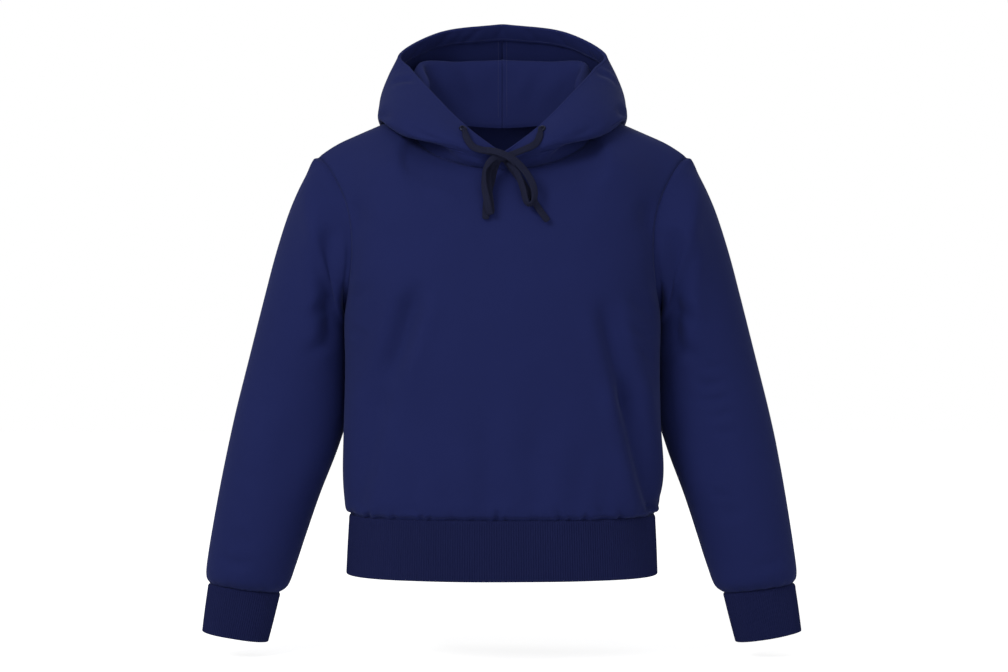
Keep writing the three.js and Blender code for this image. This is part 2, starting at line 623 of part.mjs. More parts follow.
function cuffRing(ring, lift) {
  const pointAt = (angle) => ringPoint(ring, angle).addScaledVector(cuffAxis, lift);
  const middle = ringPoint(ring, 0).lerp(ringPoint(ring, Math.PI), 0.5);
  pointAt.axis = cuffAxis.clone();
  const test = ringPoint(ring, TURN).sub(ringPoint(ring, -TURN)).cross(pointAt.axis);
  if (test.dot(ringPoint(ring, 0).sub(middle)) < 0) pointAt.axis.negate();
  return pointAt;
}
const cuffOuter = CUFF_RINGS.map((ring, i) =>
  ribRing(cuffRing(ring, i === 0 ? SEAM_GAP / 2 : 0), 2 * CUFF_RIBS, RIB_HEIGHT));
const cuffInner = CUFF_RINGS.map((ring, i) =>
  plainRing(cuffRing(ring, i === 0 ? SEAM_GAP / 2 : 0), CUFF_PLAIN_SIDES, RIB_WALL));
add('cuff_left', tubeWall(cuffOuter, cuffInner), rib());
add('cuff_right', tubeWall(rightArm(cuffOuter), rightArm(cuffInner)), rib());

// Waistband
function waistRing(ring, drop) {
  const quarterSteps = 120;
  const front = quarterSection(ring.halfWidth, ring.front, FRONT_SQUARENESS, quarterSteps);
  const back = quarterSection(ring.halfWidth, ring.back, BACK_SQUARENESS, quarterSteps);
  const loop = [];
  for (let i = 0; i < quarterSteps; i += 1) loop.push([front[i][0], -front[i][1]]);
  for (let i = quarterSteps; i > 0; i -= 1) loop.push([-front[i][0], -front[i][1]]);
  for (let i = 0; i < quarterSteps; i += 1) loop.push([-back[i][0], back[i][1]]);
  for (let i = quarterSteps; i > 0; i -= 1) loop.push([back[i][0], back[i][1]]);
  const pointAt = (angle) => {
    const turn = (((angle / (2 * Math.PI)) % 1) + 1) % 1;
    const place = turn * loop.length;
    const i = Math.floor(place) % loop.length;
    const k = (i + 1) % loop.length;
    const s = place - Math.floor(place);
    return new THREE.Vector3(
      loop[i][0] + (loop[k][0] - loop[i][0]) * s,
      loop[i][1] + (loop[k][1] - loop[i][1]) * s,
      ring.z - drop,
    );
  };
  pointAt.axis = new THREE.Vector3(0, 0, 1);
  return pointAt;
}
const waistOuter = WAIST_RINGS.map((ring, i) =>
  ribRing(waistRing(ring, i === 0 ? SEAM_GAP / 2 : 0), 2 * WAIST_RIBS, RIB_HEIGHT));
const waistInner = WAIST_RINGS.map((ring, i) =>
  plainRing(waistRing(ring, i === 0 ? SEAM_GAP / 2 : 0), WAIST_PLAIN_SIDES, RIB_WALL));
add('waistband', tubeWall(waistOuter, waistInner), rib());

// Hood: the left half's middle surface, column by column from front to back
const HOOD_COLUMNS = 2 * NECK_STEPS * HOOD_COLUMNS_PER_CHORD;
const STATION_COLUMNS = HOOD_COLUMNS / (HOOD_SECTIONS.length - 1);
const stationKnots = HOOD_SECTIONS.map((section, i) => i * STATION_COLUMNS);
const levelKnots = [...HOOD_LEVELS, 'rim'].map((name, i) => i);
const hoodColumns = [];
for (let j = 0; j <= HOOD_COLUMNS; j += 1) {
  const levels = [...HOOD_LEVELS, 'rim'].map((name) =>
    through(stationKnots, HOOD_SECTIONS.map((section) => vec(section[name])), j));
  const column = [];
  HOOD_STEPS.forEach((count, k) => {
    for (let s = 0; s < count; s += 1) column.push(through(levelKnots, levels, k + s / count));
  });
  const top = levels[HOOD_LEVELS.length - 1];
  const rim = levels[HOOD_LEVELS.length];
  const width = Math.min(CASING_WIDTH, top.distanceTo(rim) * CASING_MOST);
  const last = HOOD_LEVELS.length - 1;
  column.push(top.clone());
  for (const share of [1, 0.5]) {
    column.push(through(levelKnots, levels, last + 1 - (share * width) / top.distanceTo(rim)));
  }
  column.push(rim.clone());
  hoodColumns.push(column);
}
const HOOD_ROWS = hoodColumns[0].length;
const hoodMiddle = [];
for (let i = 0; i < HOOD_ROWS; i += 1) hoodMiddle.push(hoodColumns.map((column) => column[i]));
const hoodOut = normals(hoodMiddle, 1);
// at the two middle seams the cloth runs square to the plane between the halves
for (const row of hoodOut) {
  for (const j of [0, HOOD_COLUMNS]) row[j].setX(0).normalize();
}
const hoodSign = Math.sign(hoodOut[HOOD_ROWS - 4][STATION_COLUMNS].dot(new THREE.Vector3(0, -1, 0)));
const hoodOuter = shifted(hoodMiddle, hoodOut, (hoodSign * FLEECE) / 2);
const hoodInner = shifted(hoodMiddle, hoodOut, (-hoodSign * FLEECE) / 2);
for (let j = 0; j <= HOOD_COLUMNS; j += 1) {
  const chord = Math.min(Math.floor(j / HOOD_COLUMNS_PER_CHORD), neck.length - 2);
  const s = j / HOOD_COLUMNS_PER_CHORD - chord;
  const step = lerp(neck[chord].onward, neck[chord + 1].onward, s).multiplyScalar(NECK_SETBACK);
  hoodOuter[0][j] = lerp(neck[chord].out, neck[chord + 1].out, s).add(step);
  hoodInner[0][j] = lerp(neck[chord].lining, neck[chord + 1].lining, s).add(step);
}
for (const grid of [hoodOuter, hoodInner]) {
  for (const row of grid) {
    row[0].setX(-SEAM_GAP / 2);
    row[HOOD_COLUMNS].setX(-SEAM_GAP / 2);
  }
}
add('hood_left', sheetWall(hoodOuter, hoodInner), fleece());
add('hood_right', sheetWall(mirror(hoodOuter), mirror(hoodInner)), fleece());

// Casing: the hem turned to the inside of the opening, made from the hood's own points
const casingRows = [HOOD_ROWS - 3, HOOD_ROWS - 2, HOOD_ROWS - 1];
function casingGrid(depth) {
  return casingRows.map((i) => {
    const left = hoodInner[i].map((p, j) => p.clone().addScaledVector(hoodOut[i][j], -hoodSign * depth));
    left[0].setX(-SEAM_GAP / 2);
    left[HOOD_COLUMNS].setX(0);
    const right = left.slice(0, HOOD_COLUMNS).reverse().map((p) => new THREE.Vector3(-p.x, p.y, p.z));
    return [...left, ...right];
  });
}
const casingOuter = casingGrid(SEAM_GAP);
add('hood_hem', sheetWall(casingOuter, casingGrid(SEAM_GAP + HEM_WALL), HOOD_COLUMNS), fleece());

// Eyelets: a rolled washer on the outside of the casing near each lower end
const eyeletRow = HOOD_ROWS - 2;
const eyeletColumn = STATION_COLUMNS;
const eyeletPlace = hoodOuter[eyeletRow][eyeletColumn].clone();
const eyeletFacing = hoodOut[eyeletRow][eyeletColumn].clone().multiplyScalar(hoodSign);
function eyelet() {
  const low = 0;
  const high = EYELET_THICKNESS;
  const profile = [
    [EYELET_HOLE, low], [EYELET_RADIUS, low], [EYELET_RADIUS, high - EYELET_ROUND],
    [EYELET_RADIUS - EYELET_ROUND, high], [EYELET_HOLE + EYELET_ROUND, high],
    [EYELET_HOLE, high - EYELET_ROUND], [EYELET_HOLE, low],
  ].map(([r, h]) => new THREE.Vector2(r, h));
  let geometry = new THREE.LatheGeometry(profile, EYELET_SIDES);
  geometry.deleteAttribute('normal');
  geometry.deleteAttribute('uv');
  geometry = mergeVertices(geometry, 1e-4);
  return geometry;
}
for (const [name, side] of [['eyelet_left', 1], ['eyelet_right', -1]]) {
  const facingWay = eyeletFacing.clone();
  const place = eyeletPlace.clone().addScaledVector(eyeletFacing, EYELET_CLEARANCE);
  facingWay.x *= side;
  place.x *= side;
  const geometry = eyelet();
  geometry.applyQuaternion(new THREE.Quaternion().setFromUnitVectors(new THREE.Vector3(0, 1, 0), facingWay));
  geometry.translate(place.x, place.y, place.z);
  add(name, outward(geometry), metal());
}

// Cord: round tubes and a knot, each strand cut clear of the knot
function toManifold(geometry) {
  return new wasm.Manifold(new wasm.Mesh({
    numProp: 3,
    vertProperties: new Float32Array(geometry.attributes.position.array),
    triVerts: new Uint32Array(geometry.index.array),
  }));
}
function fromManifold(body) {
  const mesh = body.getMesh();
  const geometry = new THREE.BufferGeometry();
  geometry.setAttribute('position', new THREE.BufferAttribute(new Float32Array(mesh.vertProperties), 3));
  geometry.setIndex(new THREE.BufferAttribute(new Uint32Array(mesh.triVerts), 1));
  return geometry;
}
function knotBody(extra) {
  let geometry = new THREE.SphereGeometry(1, 14, 8);
  geometry.deleteAttribute('normal');
  geometry.deleteAttribute('uv');
  geometry = mergeVertices(geometry, 1e-4);
  geometry.scale(KNOT.wide + extra, KNOT.deep + extra, KNOT.tall + extra);
  geometry.translate(KNOT.x, KNOT.y, KNOT.z);
  return outward(geometry);
}
function tube(route, steps) {
  const section = new THREE.Shape();
  for (let k = 0; k < CORD_SIDES; k += 1) {
    const angle = (2 * Math.PI * k) / CORD_SIDES;
    const [x, y] = [CORD_RADIUS * Math.cos(angle), CORD_RADIUS * Math.sin(angle)];
    if (k === 0) section.moveTo(x, y);
    else section.lineTo(x, y);
  }
  section.closePath();
  const path = new THREE.CatmullRomCurve3(route.map(vec), false, 'centripetal');
  let geometry = new THREE.ExtrudeGeometry(section, { steps, extrudePath: path, bevelEnabled: false });
  geometry.deleteAttribute('normal');
  geometry.deleteAttribute('uv');
  geometry = mergeVertices(geometry, 1e-4);
  return outward(geometry);
}
add('knot', knotBody(0), braid());
const knotSpace = toManifold(knotBody(SEAM_GAP));
for (const [name, route, steps] of [
  ['cord_left', CORD_LEFT, CORD_STEPS], ['cord_right', CORD_RIGHT, CORD_STEPS],
  ['loop_left', LOOP_LEFT, LOOP_STEPS], ['loop_right', LOOP_RIGHT, LOOP_STEPS],
  ['tail_left', TAIL_LEFT, TAIL_STEPS], ['tail_right', TAIL_RIGHT, TAIL_STEPS],
]) {
  const strand = toManifold(tube(route, steps)).subtract(knotSpace);
  const pieces = strand.decompose().sort((a, b) => b.volume() - a.volume());
  add(name, fromManifold(pieces[0]), braid());
}

export default group;
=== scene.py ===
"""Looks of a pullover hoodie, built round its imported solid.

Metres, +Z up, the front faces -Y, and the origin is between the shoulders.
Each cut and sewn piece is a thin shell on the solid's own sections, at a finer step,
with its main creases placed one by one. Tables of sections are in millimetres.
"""

import math

import bpy
import numpy as np
from bpy.props import FloatProperty, FloatVectorProperty, IntProperty, PointerProperty
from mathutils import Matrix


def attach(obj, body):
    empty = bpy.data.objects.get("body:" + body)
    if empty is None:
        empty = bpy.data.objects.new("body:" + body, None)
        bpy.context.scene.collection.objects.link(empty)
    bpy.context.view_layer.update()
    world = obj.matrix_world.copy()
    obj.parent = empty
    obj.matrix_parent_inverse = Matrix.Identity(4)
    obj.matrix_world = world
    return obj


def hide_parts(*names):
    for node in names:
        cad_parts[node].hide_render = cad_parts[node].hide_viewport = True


bl_info = {
    "name": "Pullover Hoodie",
    "version": (1, 0, 0),
    "blender": (4, 5, 0),
    "location": "3D View > Sidebar > Hoodie",
    "description": "Builds a pullover hoodie, held up as if worn",
    "category": "Add Mesh",
}

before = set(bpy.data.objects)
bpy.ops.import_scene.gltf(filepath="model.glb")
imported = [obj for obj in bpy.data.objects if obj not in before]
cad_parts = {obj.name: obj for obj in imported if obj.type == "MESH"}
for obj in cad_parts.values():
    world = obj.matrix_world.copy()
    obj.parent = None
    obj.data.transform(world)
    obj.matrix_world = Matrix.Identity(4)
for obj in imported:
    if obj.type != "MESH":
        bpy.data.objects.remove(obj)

MM = 0.001

# Grid steps of the solid over half a panel, and how much finer the shells are
SHOULDER_STEPS = 4
NECK_STEPS = 6
HALF_STEPS = SHOULDER_STEPS + NECK_STEPS
FINER = 8
HOOD_FINER = 5

# Body sections under the arms: height, half width, front depth, back depth, rows
BODY_SECTIONS = [
    (-453, 190, 114, 106, 1),
    (-446, 195, 118, 110, 1),
    (-430, 197.5, 120, 111, 2),
    (-350, 196.5, 118, 108, 3),
    (-270, 196, 118, 108, 2),
    (-205, 196.5, 119, 111, 2),
]
MEAN_RISE = 35
FRONT_SQUARENESS = 2.5
BACK_SQUARENESS = 2.25

# Above the underarm: points at the armhole, outer, middle, inner, near and centre columns
FRONT_ROWS = [
    [(-190, -44, -168), (-172, -75, -166), (-138, -99, -164), (-96, -112, -164), (-49, -117, -165), (0, -118, -166)],
    [(-186, -58, -130), (-165, -81, -123), (-133, -99, -118), (-95, -110.5, -120), (-50, -115.5, -125), (0, -116.5, -128)],
    [(-188, -58, -92), (-163, -78, -76), (-134, -93, -70), (-100, -104.5, -80), (-55, -111, -92), (0, -113, -98)],
    [(-196, -50, -62), (-163, -70, -38), (-134, -80, -26), (-108, -92, -48), (-62, -104, -68), (0, -108, -76)],
    [(-207, -37, -40), (-164, -49, -8), (-129, -52, 6), (-112, -75, -26), (-65, -95, -50), (0, -102, -60)],
    [(-219, -20, -23), (-167, -22, 15), (-121, -24, 31.5), (-110, -56, -6), (-63, -85, -34), (0, -96, -44)],
    [(-231, 2, -12), (-171, 5, 23.5), (-112, 8, 50), (-104.6, -38, 7.5), (-57, -75, -21.5), (0, -90, -30.5)],
]
BACK_ROWS = [
    [(-187, 46, -168), (-168, 69, -166), (-134, 91, -164), (-94, 104, -164), (-48, 111, -164), (0, 113, -164)],
    [(-184, 60, -132), (-161, 77, -125), (-130, 94, -120), (-94, 105.5, -119), (-48, 112.5, -119), (0, 113.5, -119)],
    [(-187, 63, -96), (-161, 78, -80), (-130, 91.5, -70), (-96, 101.5, -69), (-50, 109.5, -70), (0, 111.5, -71)],
    [(-196, 54, -64), (-162, 69, -40), (-130, 78, -26), (-98, 92, -26), (-52, 103, -27), (0, 106, -28)],
    [(-206, 41, -41), (-163, 51, -9), (-127, 56, 11), (-97, 76, 8), (-52, 93, 4), (0, 98, 3)],
    [(-218, 23, -24), (-167, 27, 15), (-120, 32, 35), (-93, 61, 29), (-49, 81, 25), (0, 87, 23)],
    [(-231, 2, -12), (-171, 5, 23.5), (-112, 8, 50), (-86, 47, 43), (-45, 67, 39), (0, 74, 37)],
]
UPPER_STEPS = [2, 2, 1, 1, 1, 1, 0]

# Left sleeve rings: outermost x and z, innermost x and z, middle y, half depth
SLEEVE_RINGS = [
    (-247.5, -34, -196, -212, 10, 72),
    (-266, -72, -195.8, -226, 17, 68),
    (-284, -125, -194.2, -250, 22, 65),
    (-299, -180, -194.2, -285, 25, 62),
    (-318, -255, -195.2, -330, 25, 58),
    (-336, -330, -206, -370, 19, 55),
    (-351, -405, -228, -428, 10, 51),
    (-362, -470, -246, -482, 1, 47),
    (-368.5, -515, -259, -522, -4, 42),
    (-369, -531, -267, -543, -6, 37),
    (-366, -540, -277, -552, -6, 27),
]
SLEEVE_SETBACK = 6
LEAN_FROM, LEAN_TO, LEAN_REACH = -360, -500, 2.6
UNDERARM_LIFT = [1, 0.8, 0.4]
# The same at the sleeve's head, from the top to its neighbours: how much more it drops
HEAD_DROP = [(0, 1.2), (1, 0.5), (-1, 0.5)]
# How the outer shoulder is rounded up: rise, distance from the middle, reach across and front to back
SHOULDER_ROUND = (5.8, 212, 32, 34)

CUFF_TOP = (-366, -540, -277, -552, -6, 27)
CUFF_BOTTOM = (-374, -600, -292.5, -613.5, -7, 27)

# Waistband rings: height, half width, front depth, back depth
WAIST_TOP = (-453, 190, 114, 106)
WAIST_BOTTOM = (-527, 193.5, 115, 108)

# Left half of the hood: sections of the cloth from the neck seam to the opening
HOOD_SECTIONS = [
    [(0, -90, -30.5), (0, -90.2, -29.4), (0, -90.6, -28.3), (0, -91.1, -27.2), (0, -91.7, -26.1),
     (0, -92.4, -25), (0, -93.1, -23.9), (0, -93.8, -22.6), (0, -94.5, -20.8), (0, -96, -12)],
    [(-57, -75, -21.5), (-57.5, -79, -17), (-58, -83, -13), (-59, -86, -10), (-60, -90, -7),
     (-61, -95, -4), (-61.5, -98.5, 0), (-60, -97.5, 7), (-55.5, -92, 13.5), (-43.7, -78, 22.1)],
    [(-104.6, -38, 7.5), (-97, -32, 23), (-91, -25, 39), (-98, -30, 42), (-109, -46, 27),
     (-117, -60, 12), (-125, -62, 20), (-123, -57, 37), (-107, -50, 54), (-83.6, -42, 65.1)],
    [(-112, 8, 50), (-101, 9, 67), (-92, 12, 82), (-101, 14, 86), (-126, 10, 64),
     (-149, 3, 39), (-155, 5, 43), (-150, 12, 66), (-136, 13, 90), (-114, 8, 102.3)],
    [(-86, 47, 43), (-94, 52, 80), (-99, 59, 113), (-109, 70, 111), (-118, 83, 62),
     (-126, 98, 8), (-140, 101, 14), (-149, 78, 60), (-141, 58, 99), (-129.5, 50, 128.5)],
    [(-45, 67, 39), (-49, 76, 80), (-54, 82, 116), (-58, 94, 114), (-62, 107, 50),
     (-70, 122, -26), (-80, 143, -24), (-90, 145, 50), (-88, 117, 119), (-78, 90, 161.5)],
    [(0, 74, 37), (0, 82, 80), (0, 88, 118), (0, 100, 116), (0, 112, 44),
     (0, 126, -50), (0, 150, -50), (0, 160, 40), (0, 134, 124), (0, 105, 173.5)],
]
HOOD_FINE_STEPS = [10, 10, 6, 14, 18, 8, 18, 16, 14]
CASING_WIDTH = 22
STATION_COLUMNS = 4

# Creases: path, width, depth (a negative depth stands out), and how much of the path
# each end fades over. Paths are x and z on the front and back.
FRONT_CREASES = [
    ([(-98, -160), (-111, -203), (-126, -250), (-144, -298)], 13, 9.5, (0.3, 0.3)),
    ([(-134, -262), (-156, -335), (-170, -398), (-183, -447)], 15, 5.2, (0.3, 0.08)),
    ([(118, -176), (136, -250), (150, -300), (162, -345)], 12, 8.0, (0.3, 0.25)),
    ([(143, -272), (161, -352), (176, -408), (189, -449)], 12, 10.5, (0.25, 0.04)),
    ([(150, -178), (168, -196), (186, -205)], 7, 2.0, (0.5, 0.3)),
    ([(146, -212), (164, -226), (184, -232)], 6, 1.9, (0.5, 0.3)),
    ([(152, -240), (170, -250), (188, -262)], 6, 1.6, (0.5, 0.3)),
    ([(-150, -168), (-170, -178), (-188, -190)], 8, 1.8, (0.5, 0.3)),
    ([(-158, -238), (-176, -230), (-190, -228)], 6, 1.2, (0.5, 0.3)),
    ([(-184, -60), (-176, -85), (-170, -120)], 13, 3.4, (0.4, 0.5)),
    ([(184, -60), (177, -84), (172, -118)], 13, 3.4, (0.4, 0.5)),
    ([(-96, -40), (-70, -62), (-36, -74)], 12, -1.6, (0.4, 0.5)),
    ([(98, -38), (74, -60), (40, -74)], 12, -1.6, (0.4, 0.5)),
    ([(-60, -320), (-68, -385), (-62, -446)], 18, 2.4, (0.5, 0.15)),
    ([(-14, -290), (-20, -372), (-10, -446)], 20, 3.0, (0.5, 0.15)),
    ([(40, -315), (36, -390), (46, -446)], 18, 2.6, (0.5, 0.15)),
    ([(92, -345), (97, -400), (90, -447)], 16, 2.4, (0.5, 0.15)),
    ([(12, -250), (10, -330), (18, -410)], 22, -2.0, (0.5, 0.4)),
    ([(-110, -370), (-103, -415), (-109, -448)], 13, 2.6, (0.5, 0.1)),
    ([(118, -380), (124, -418), (116, -448)], 12, 2.2, (0.5, 0.1)),
]
# Gathers above the waistband's seam: x, length, width, depth, slant
FRONT_GATHERS = [
    (-184, 18, 4, 1.4, -3), (-164, 13, 3, 2.3, 4), (-150, 26, 6, 0.9, 7), (-131, 9, 3, 1.5, -2),
    (-97, 11, 3, 2.2, -4), (-88, 8, 2.6, 1.7, 2), (-60, 24, 6, 0.8, 5), (-36, 7, 3, 0.8, 2),
    (-7, 20, 3.4, 2.4, 5), (3, 8, 3, 1.3, -2), (38, 22, 6, 0.8, -5), (69, 20, 3.4, 2.2, -6),
    (80, 8, 3, 1.0, 2), (99, 11, 3, 2.3, 4), (121, 26, 6, 0.9, 6), (143, 13, 3, 2.3, -4),
    (164, 22, 5, 1.3, 5), (184, 18, 4, 1.4, 3),
]
# How far the panels may draw in where the waistband is sewn on
DEEPEST_AT_HEM = 3.0
BACK_CREASES = [
    ([(-132, -170), (-146, -240), (-164, -330)], 13, 2.6, (0.4, 0.5)),
    ([(-152, -300), (-166, -370), (-182, -442)], 13, 3.0, (0.4, 0.15)),
    ([(128, -182), (146, -262), (160, -344)], 12, 3.0, (0.4, 0.5)),
    ([(148, -318), (166, -390), (184, -445)], 12, 3.4, (0.4, 0.15)),
    ([(-40, -240), (-52, -330), (-46, -430)], 24, 2.2, (0.5, 0.3)),
    ([(30, -210), (40, -320), (34, -436)], 26, 2.4, (0.5, 0.3)),
    ([(-8, -150), (-4, -240), (-10, -330)], 24, -1.6, (0.5, 0.5)),
    ([(-96, -340), (-100, -400), (-94, -446)], 17, 1.6, (0.5, 0.2)),
    ([(92, -330), (98, -395), (90, -446)], 17, 1.5, (0.5, 0.2)),
    ([(-190, -80), (-176, -120), (-150, -150)], 12, 2.0, (0.3, 0.5)),
    ([(190, -84), (174, -126), (150, -160)], 12, 2.0, (0.3, 0.5)),
    ([(-188, -192), (-164, -190), (-138, -176)], 8, 1.4, (0.3, 0.5)),
    ([(188, -200), (162, -200), (136, -184)], 8, 1.3, (0.3, 0.5)),
]
BACK_GATHERS = [
    (-184, 24, 5, 1.5, 5), (-166, 38, 6, 2.2, -8), (-148, 18, 4, 1.1, 3), (-130, 26, 5, 1.6, -6),
    (-110, 34, 5, 2.0, 7), (-91, 16, 4, 1.0, -2), (-72, 28, 5, 1.6, -6), (-54, 20, 4, 1.2, 4),
    (-33, 42, 6, 2.3, 8), (-15, 17, 4, 1.0, -3), (6, 26, 5, 1.5, 5), (24, 38, 5, 2.0, -7),
    (45, 18, 4, 1.1, 2), (63, 30, 5, 1.7, 7), (81, 20, 4, 1.2, -4), (101, 40, 6, 2.2, -9),
    (121, 18, 4, 1.1, 3), (140, 27, 5, 1.6, 6), (160, 34, 5, 2.0, -7), (180, 22, 5, 1.4, 4),
]

# Sleeve creases, left then right: x and z on the sleeve as seen from the front, and
# +1 for its front face or -1 for its back face
LEFT_SLEEVE_CREASES = [
    ([(-207, -92), (-211, -140), (-211, -206), (-213, -262)], 12, 5.4, (0.3, 0.3), 1),
    ([(-206, -92), (-222, -128), (-232, -172)], 12, 2.2, (0.25, 0.6), 1),
    ([(-205, -190), (-224, -200), (-246, -220)], 8, 1.6, (0.25, 0.6), 1),
    ([(-206, -236), (-228, -246), (-250, -262)], 8, 1.2, (0.3, 0.6), 1),
    ([(-248, -300), (-262, -372), (-284, -450)], 22, 1.6, (0.5, 0.5), 1),
    ([(-318, -300), (-300, -318), (-276, -326)], 10, 0.9, (0.4, 0.6), 1),
    ([(-330, -395), (-306, -412), (-280, -414)], 9, 0.8, (0.4, 0.6), 1),
    ([(-344, -470), (-318, -484), (-292, -482)], 9, 1.1, (0.4, 0.6), 1),
    ([(-352, -500), (-330, -512), (-300, -508)], 7, 1.0, (0.4, 0.5), 1),
    ([(-208, -120), (-226, -160), (-236, -215)], 13, 2.4, (0.3, 0.6), -1),
    ([(-214, -262), (-246, -280), (-276, -284)], 10, 2.0, (0.3, 0.6), -1),
    ([(-222, -300), (-254, -316), (-290, -312)], 10, 2.2, (0.3, 0.6), -1),
    ([(-226, -344), (-258, -352), (-292, -342)], 9, 1.8, (0.3, 0.6), -1),
    ([(-346, -450), (-320, -470), (-284, -474)], 10, 1.4, (0.4, 0.6), -1),
]
RIGHT_SLEEVE_CREASES = [
    ([(207, -96), (211, -142), (211, -206), (213, -275)], 13, 5.8, (0.3, 0.3), 1),
    ([(205, -96), (220, -130), (228, -176)], 12, 2.2, (0.25, 0.6), 1),
    ([(205, -196), (226, -206), (250, -228)], 8, 1.7, (0.25, 0.6), 1),
    ([(206, -246), (230, -252), (252, -268)], 8, 1.4, (0.3, 0.6), 1),
    ([(236, -262), (258, -272), (282, -268)], 6, 1.0, (0.5, 0.5), 1),
    ([(232, -284), (256, -292), (284, -286)], 6, 1.2, (0.5, 0.5), 1),
    ([(238, -306), (262, -312), (290, -304)], 6, 1.2, (0.5, 0.5), 1),
    ([(246, -326), (268, -330), (296, -320)], 6, 1.0, (0.5, 0.5), 1),
    ([(250, -346), (272, -352), (298, -346)], 6, 0.8, (0.5, 0.5), 1),
    ([(244, -330), (262, -392), (284, -452)], 20, 1.6, (0.5, 0.5), 1),
    ([(252, -424), (268, -428), (286, -424)], 5, 1.1, (0.5, 0.5), 1),
    ([(262, -446), (284, -452), (310, -444)], 8, 0.9, (0.5, 0.5), 1),
    ([(352, -502), (330, -513), (300, -510)], 7, 1.0, (0.4, 0.5), 1),
    ([(208, -116), (224, -164), (234, -220)], 13, 2.4, (0.3, 0.6), -1),
    ([(214, -270), (244, -286), (280, -288)], 10, 2.2, (0.3, 0.6), -1),
    ([(222, -312), (252, -324), (288, -320)], 9, 2.0, (0.3, 0.6), -1),
    ([(230, -352), (262, -362), (296, -352)], 9, 1.6, (0.3, 0.6), -1),
    ([(346, -456), (318, -474), (286, -478)], 10, 1.4, (0.4, 0.6), -1),
]

# Hood creases: station from the front (0) to the back (6), level from the neck seam (0)
# to the rim (9). Left then right half.
LEFT_HOOD_CREASES = [
    ([(2.55, 8.9), (2.75, 8.2), (2.95, 7.5)], 6, 1.6, (0.3, 0.6)),
    ([(2.2, 6.9), (2.5, 6.3), (2.8, 5.8)], 8, 1.6, (0.5, 0.3)),
    ([(0.7, 4.6), (1.1, 4.4), (1.6, 4.5)], 5, 1.2, (0.4, 0.5)),
    ([(1.1, 5.6), (1.5, 6.2), (1.9, 7.0)], 10, 1.2, (0.4, 0.6)),
    ([(4.3, 1.9), (4.8, 1.3), (5.4, 0.7)], 14, 2.0, (0.4, 0.5)),
    ([(5.0, 1.9), (5.4, 1.3), (5.7, 0.6)], 12, 1.3, (0.4, 0.5)),
    ([(3.6, 1.7), (4.0, 1.1), (4.4, 0.5)], 12, 1.5, (0.4, 0.5)),
    ([(4.2, 7.6), (4.8, 6.6), (5.5, 6.0)], 18, 2.4, (0.5, 0.5)),
    ([(3.4, 6.3), (4.0, 5.8), (4.7, 5.5)], 12, 2.0, (0.4, 0.5)),
    ([(5.2, 7.4), (5.6, 6.6), (5.9, 5.8)], 16, 2.0, (0.5, 0.4)),
]
RIGHT_HOOD_CREASES = [
    ([(2.9, 8.9), (3.0, 8.1), (3.05, 7.4)], 6, 1.4, (0.3, 0.6)),
    ([(2.35, 7.0), (2.6, 6.4), (2.9, 5.9)], 7, 1.9, (0.5, 0.3)),
    ([(2.0, 5.9), (2.4, 5.7), (2.8, 5.5)], 6, 1.2, (0.5, 0.3)),
    ([(0.6, 4.9), (1.0, 4.3), (1.5, 4.2)], 5, 1.6, (0.4, 0.5)),
    ([(0.9, 3.4), (1.3, 3.6), (1.8, 4.2)], 5, 1.3, (0.4, 0.5)),
    ([(1.3, 5.7), (1.6, 6.4), (1.9, 7.2)], 10, 1.0, (0.4, 0.6)),
    ([(4.2, 1.9), (4.7, 1.2), (5.3, 0.8)], 14, 1.7, (0.4, 0.5)),
    ([(5.1, 1.8), (5.5, 1.2), (5.8, 0.5)], 12, 1.2, (0.4, 0.5)),
    ([(3.5, 1.6), (3.9, 1.2), (4.3, 0.4)], 12, 1.6, (0.4, 0.5)),
    ([(4.0, 7.3), (4.6, 6.5), (5.4, 5.9)], 18, 2.2, (0.5, 0.5)),
    ([(3.5, 6.2), (4.1, 5.9), (4.8, 5.6)], 12, 1.8, (0.4, 0.5)),
    ([(5.0, 7.8), (5.5, 7.0), (5.8, 6.2)], 16, 1.8, (0.5, 0.4)),
]
HOOD_STATION_LENGTH = 58
HOOD_LEVEL_LENGTH = 34

# Puckers of the casing: station, slant in stations, width, depth
CASING_PUCKERS = [
    (3.3, 0.10, 4, 0.7), (3.62, -0.08, 3, 0.5), (3.95, 0.12, 4, 0.9), (4.22, 0.05, 3, 0.5),
    (4.5, 0.14, 4, 0.9), (4.78, -0.06, 3, 0.6), (5.02, 0.12, 5, 1.1), (5.3, 0.08, 3, 0.6),
    (5.52, 0.14, 4, 1.0), (5.76, 0.05, 3, 0.6), (5.93, 0.10, 4, 0.8), (2.4, 0.1, 4, 0.5),
    (2.9, -0.08, 4, 0.6), (1.6, 0.08, 4, 0.4),
]

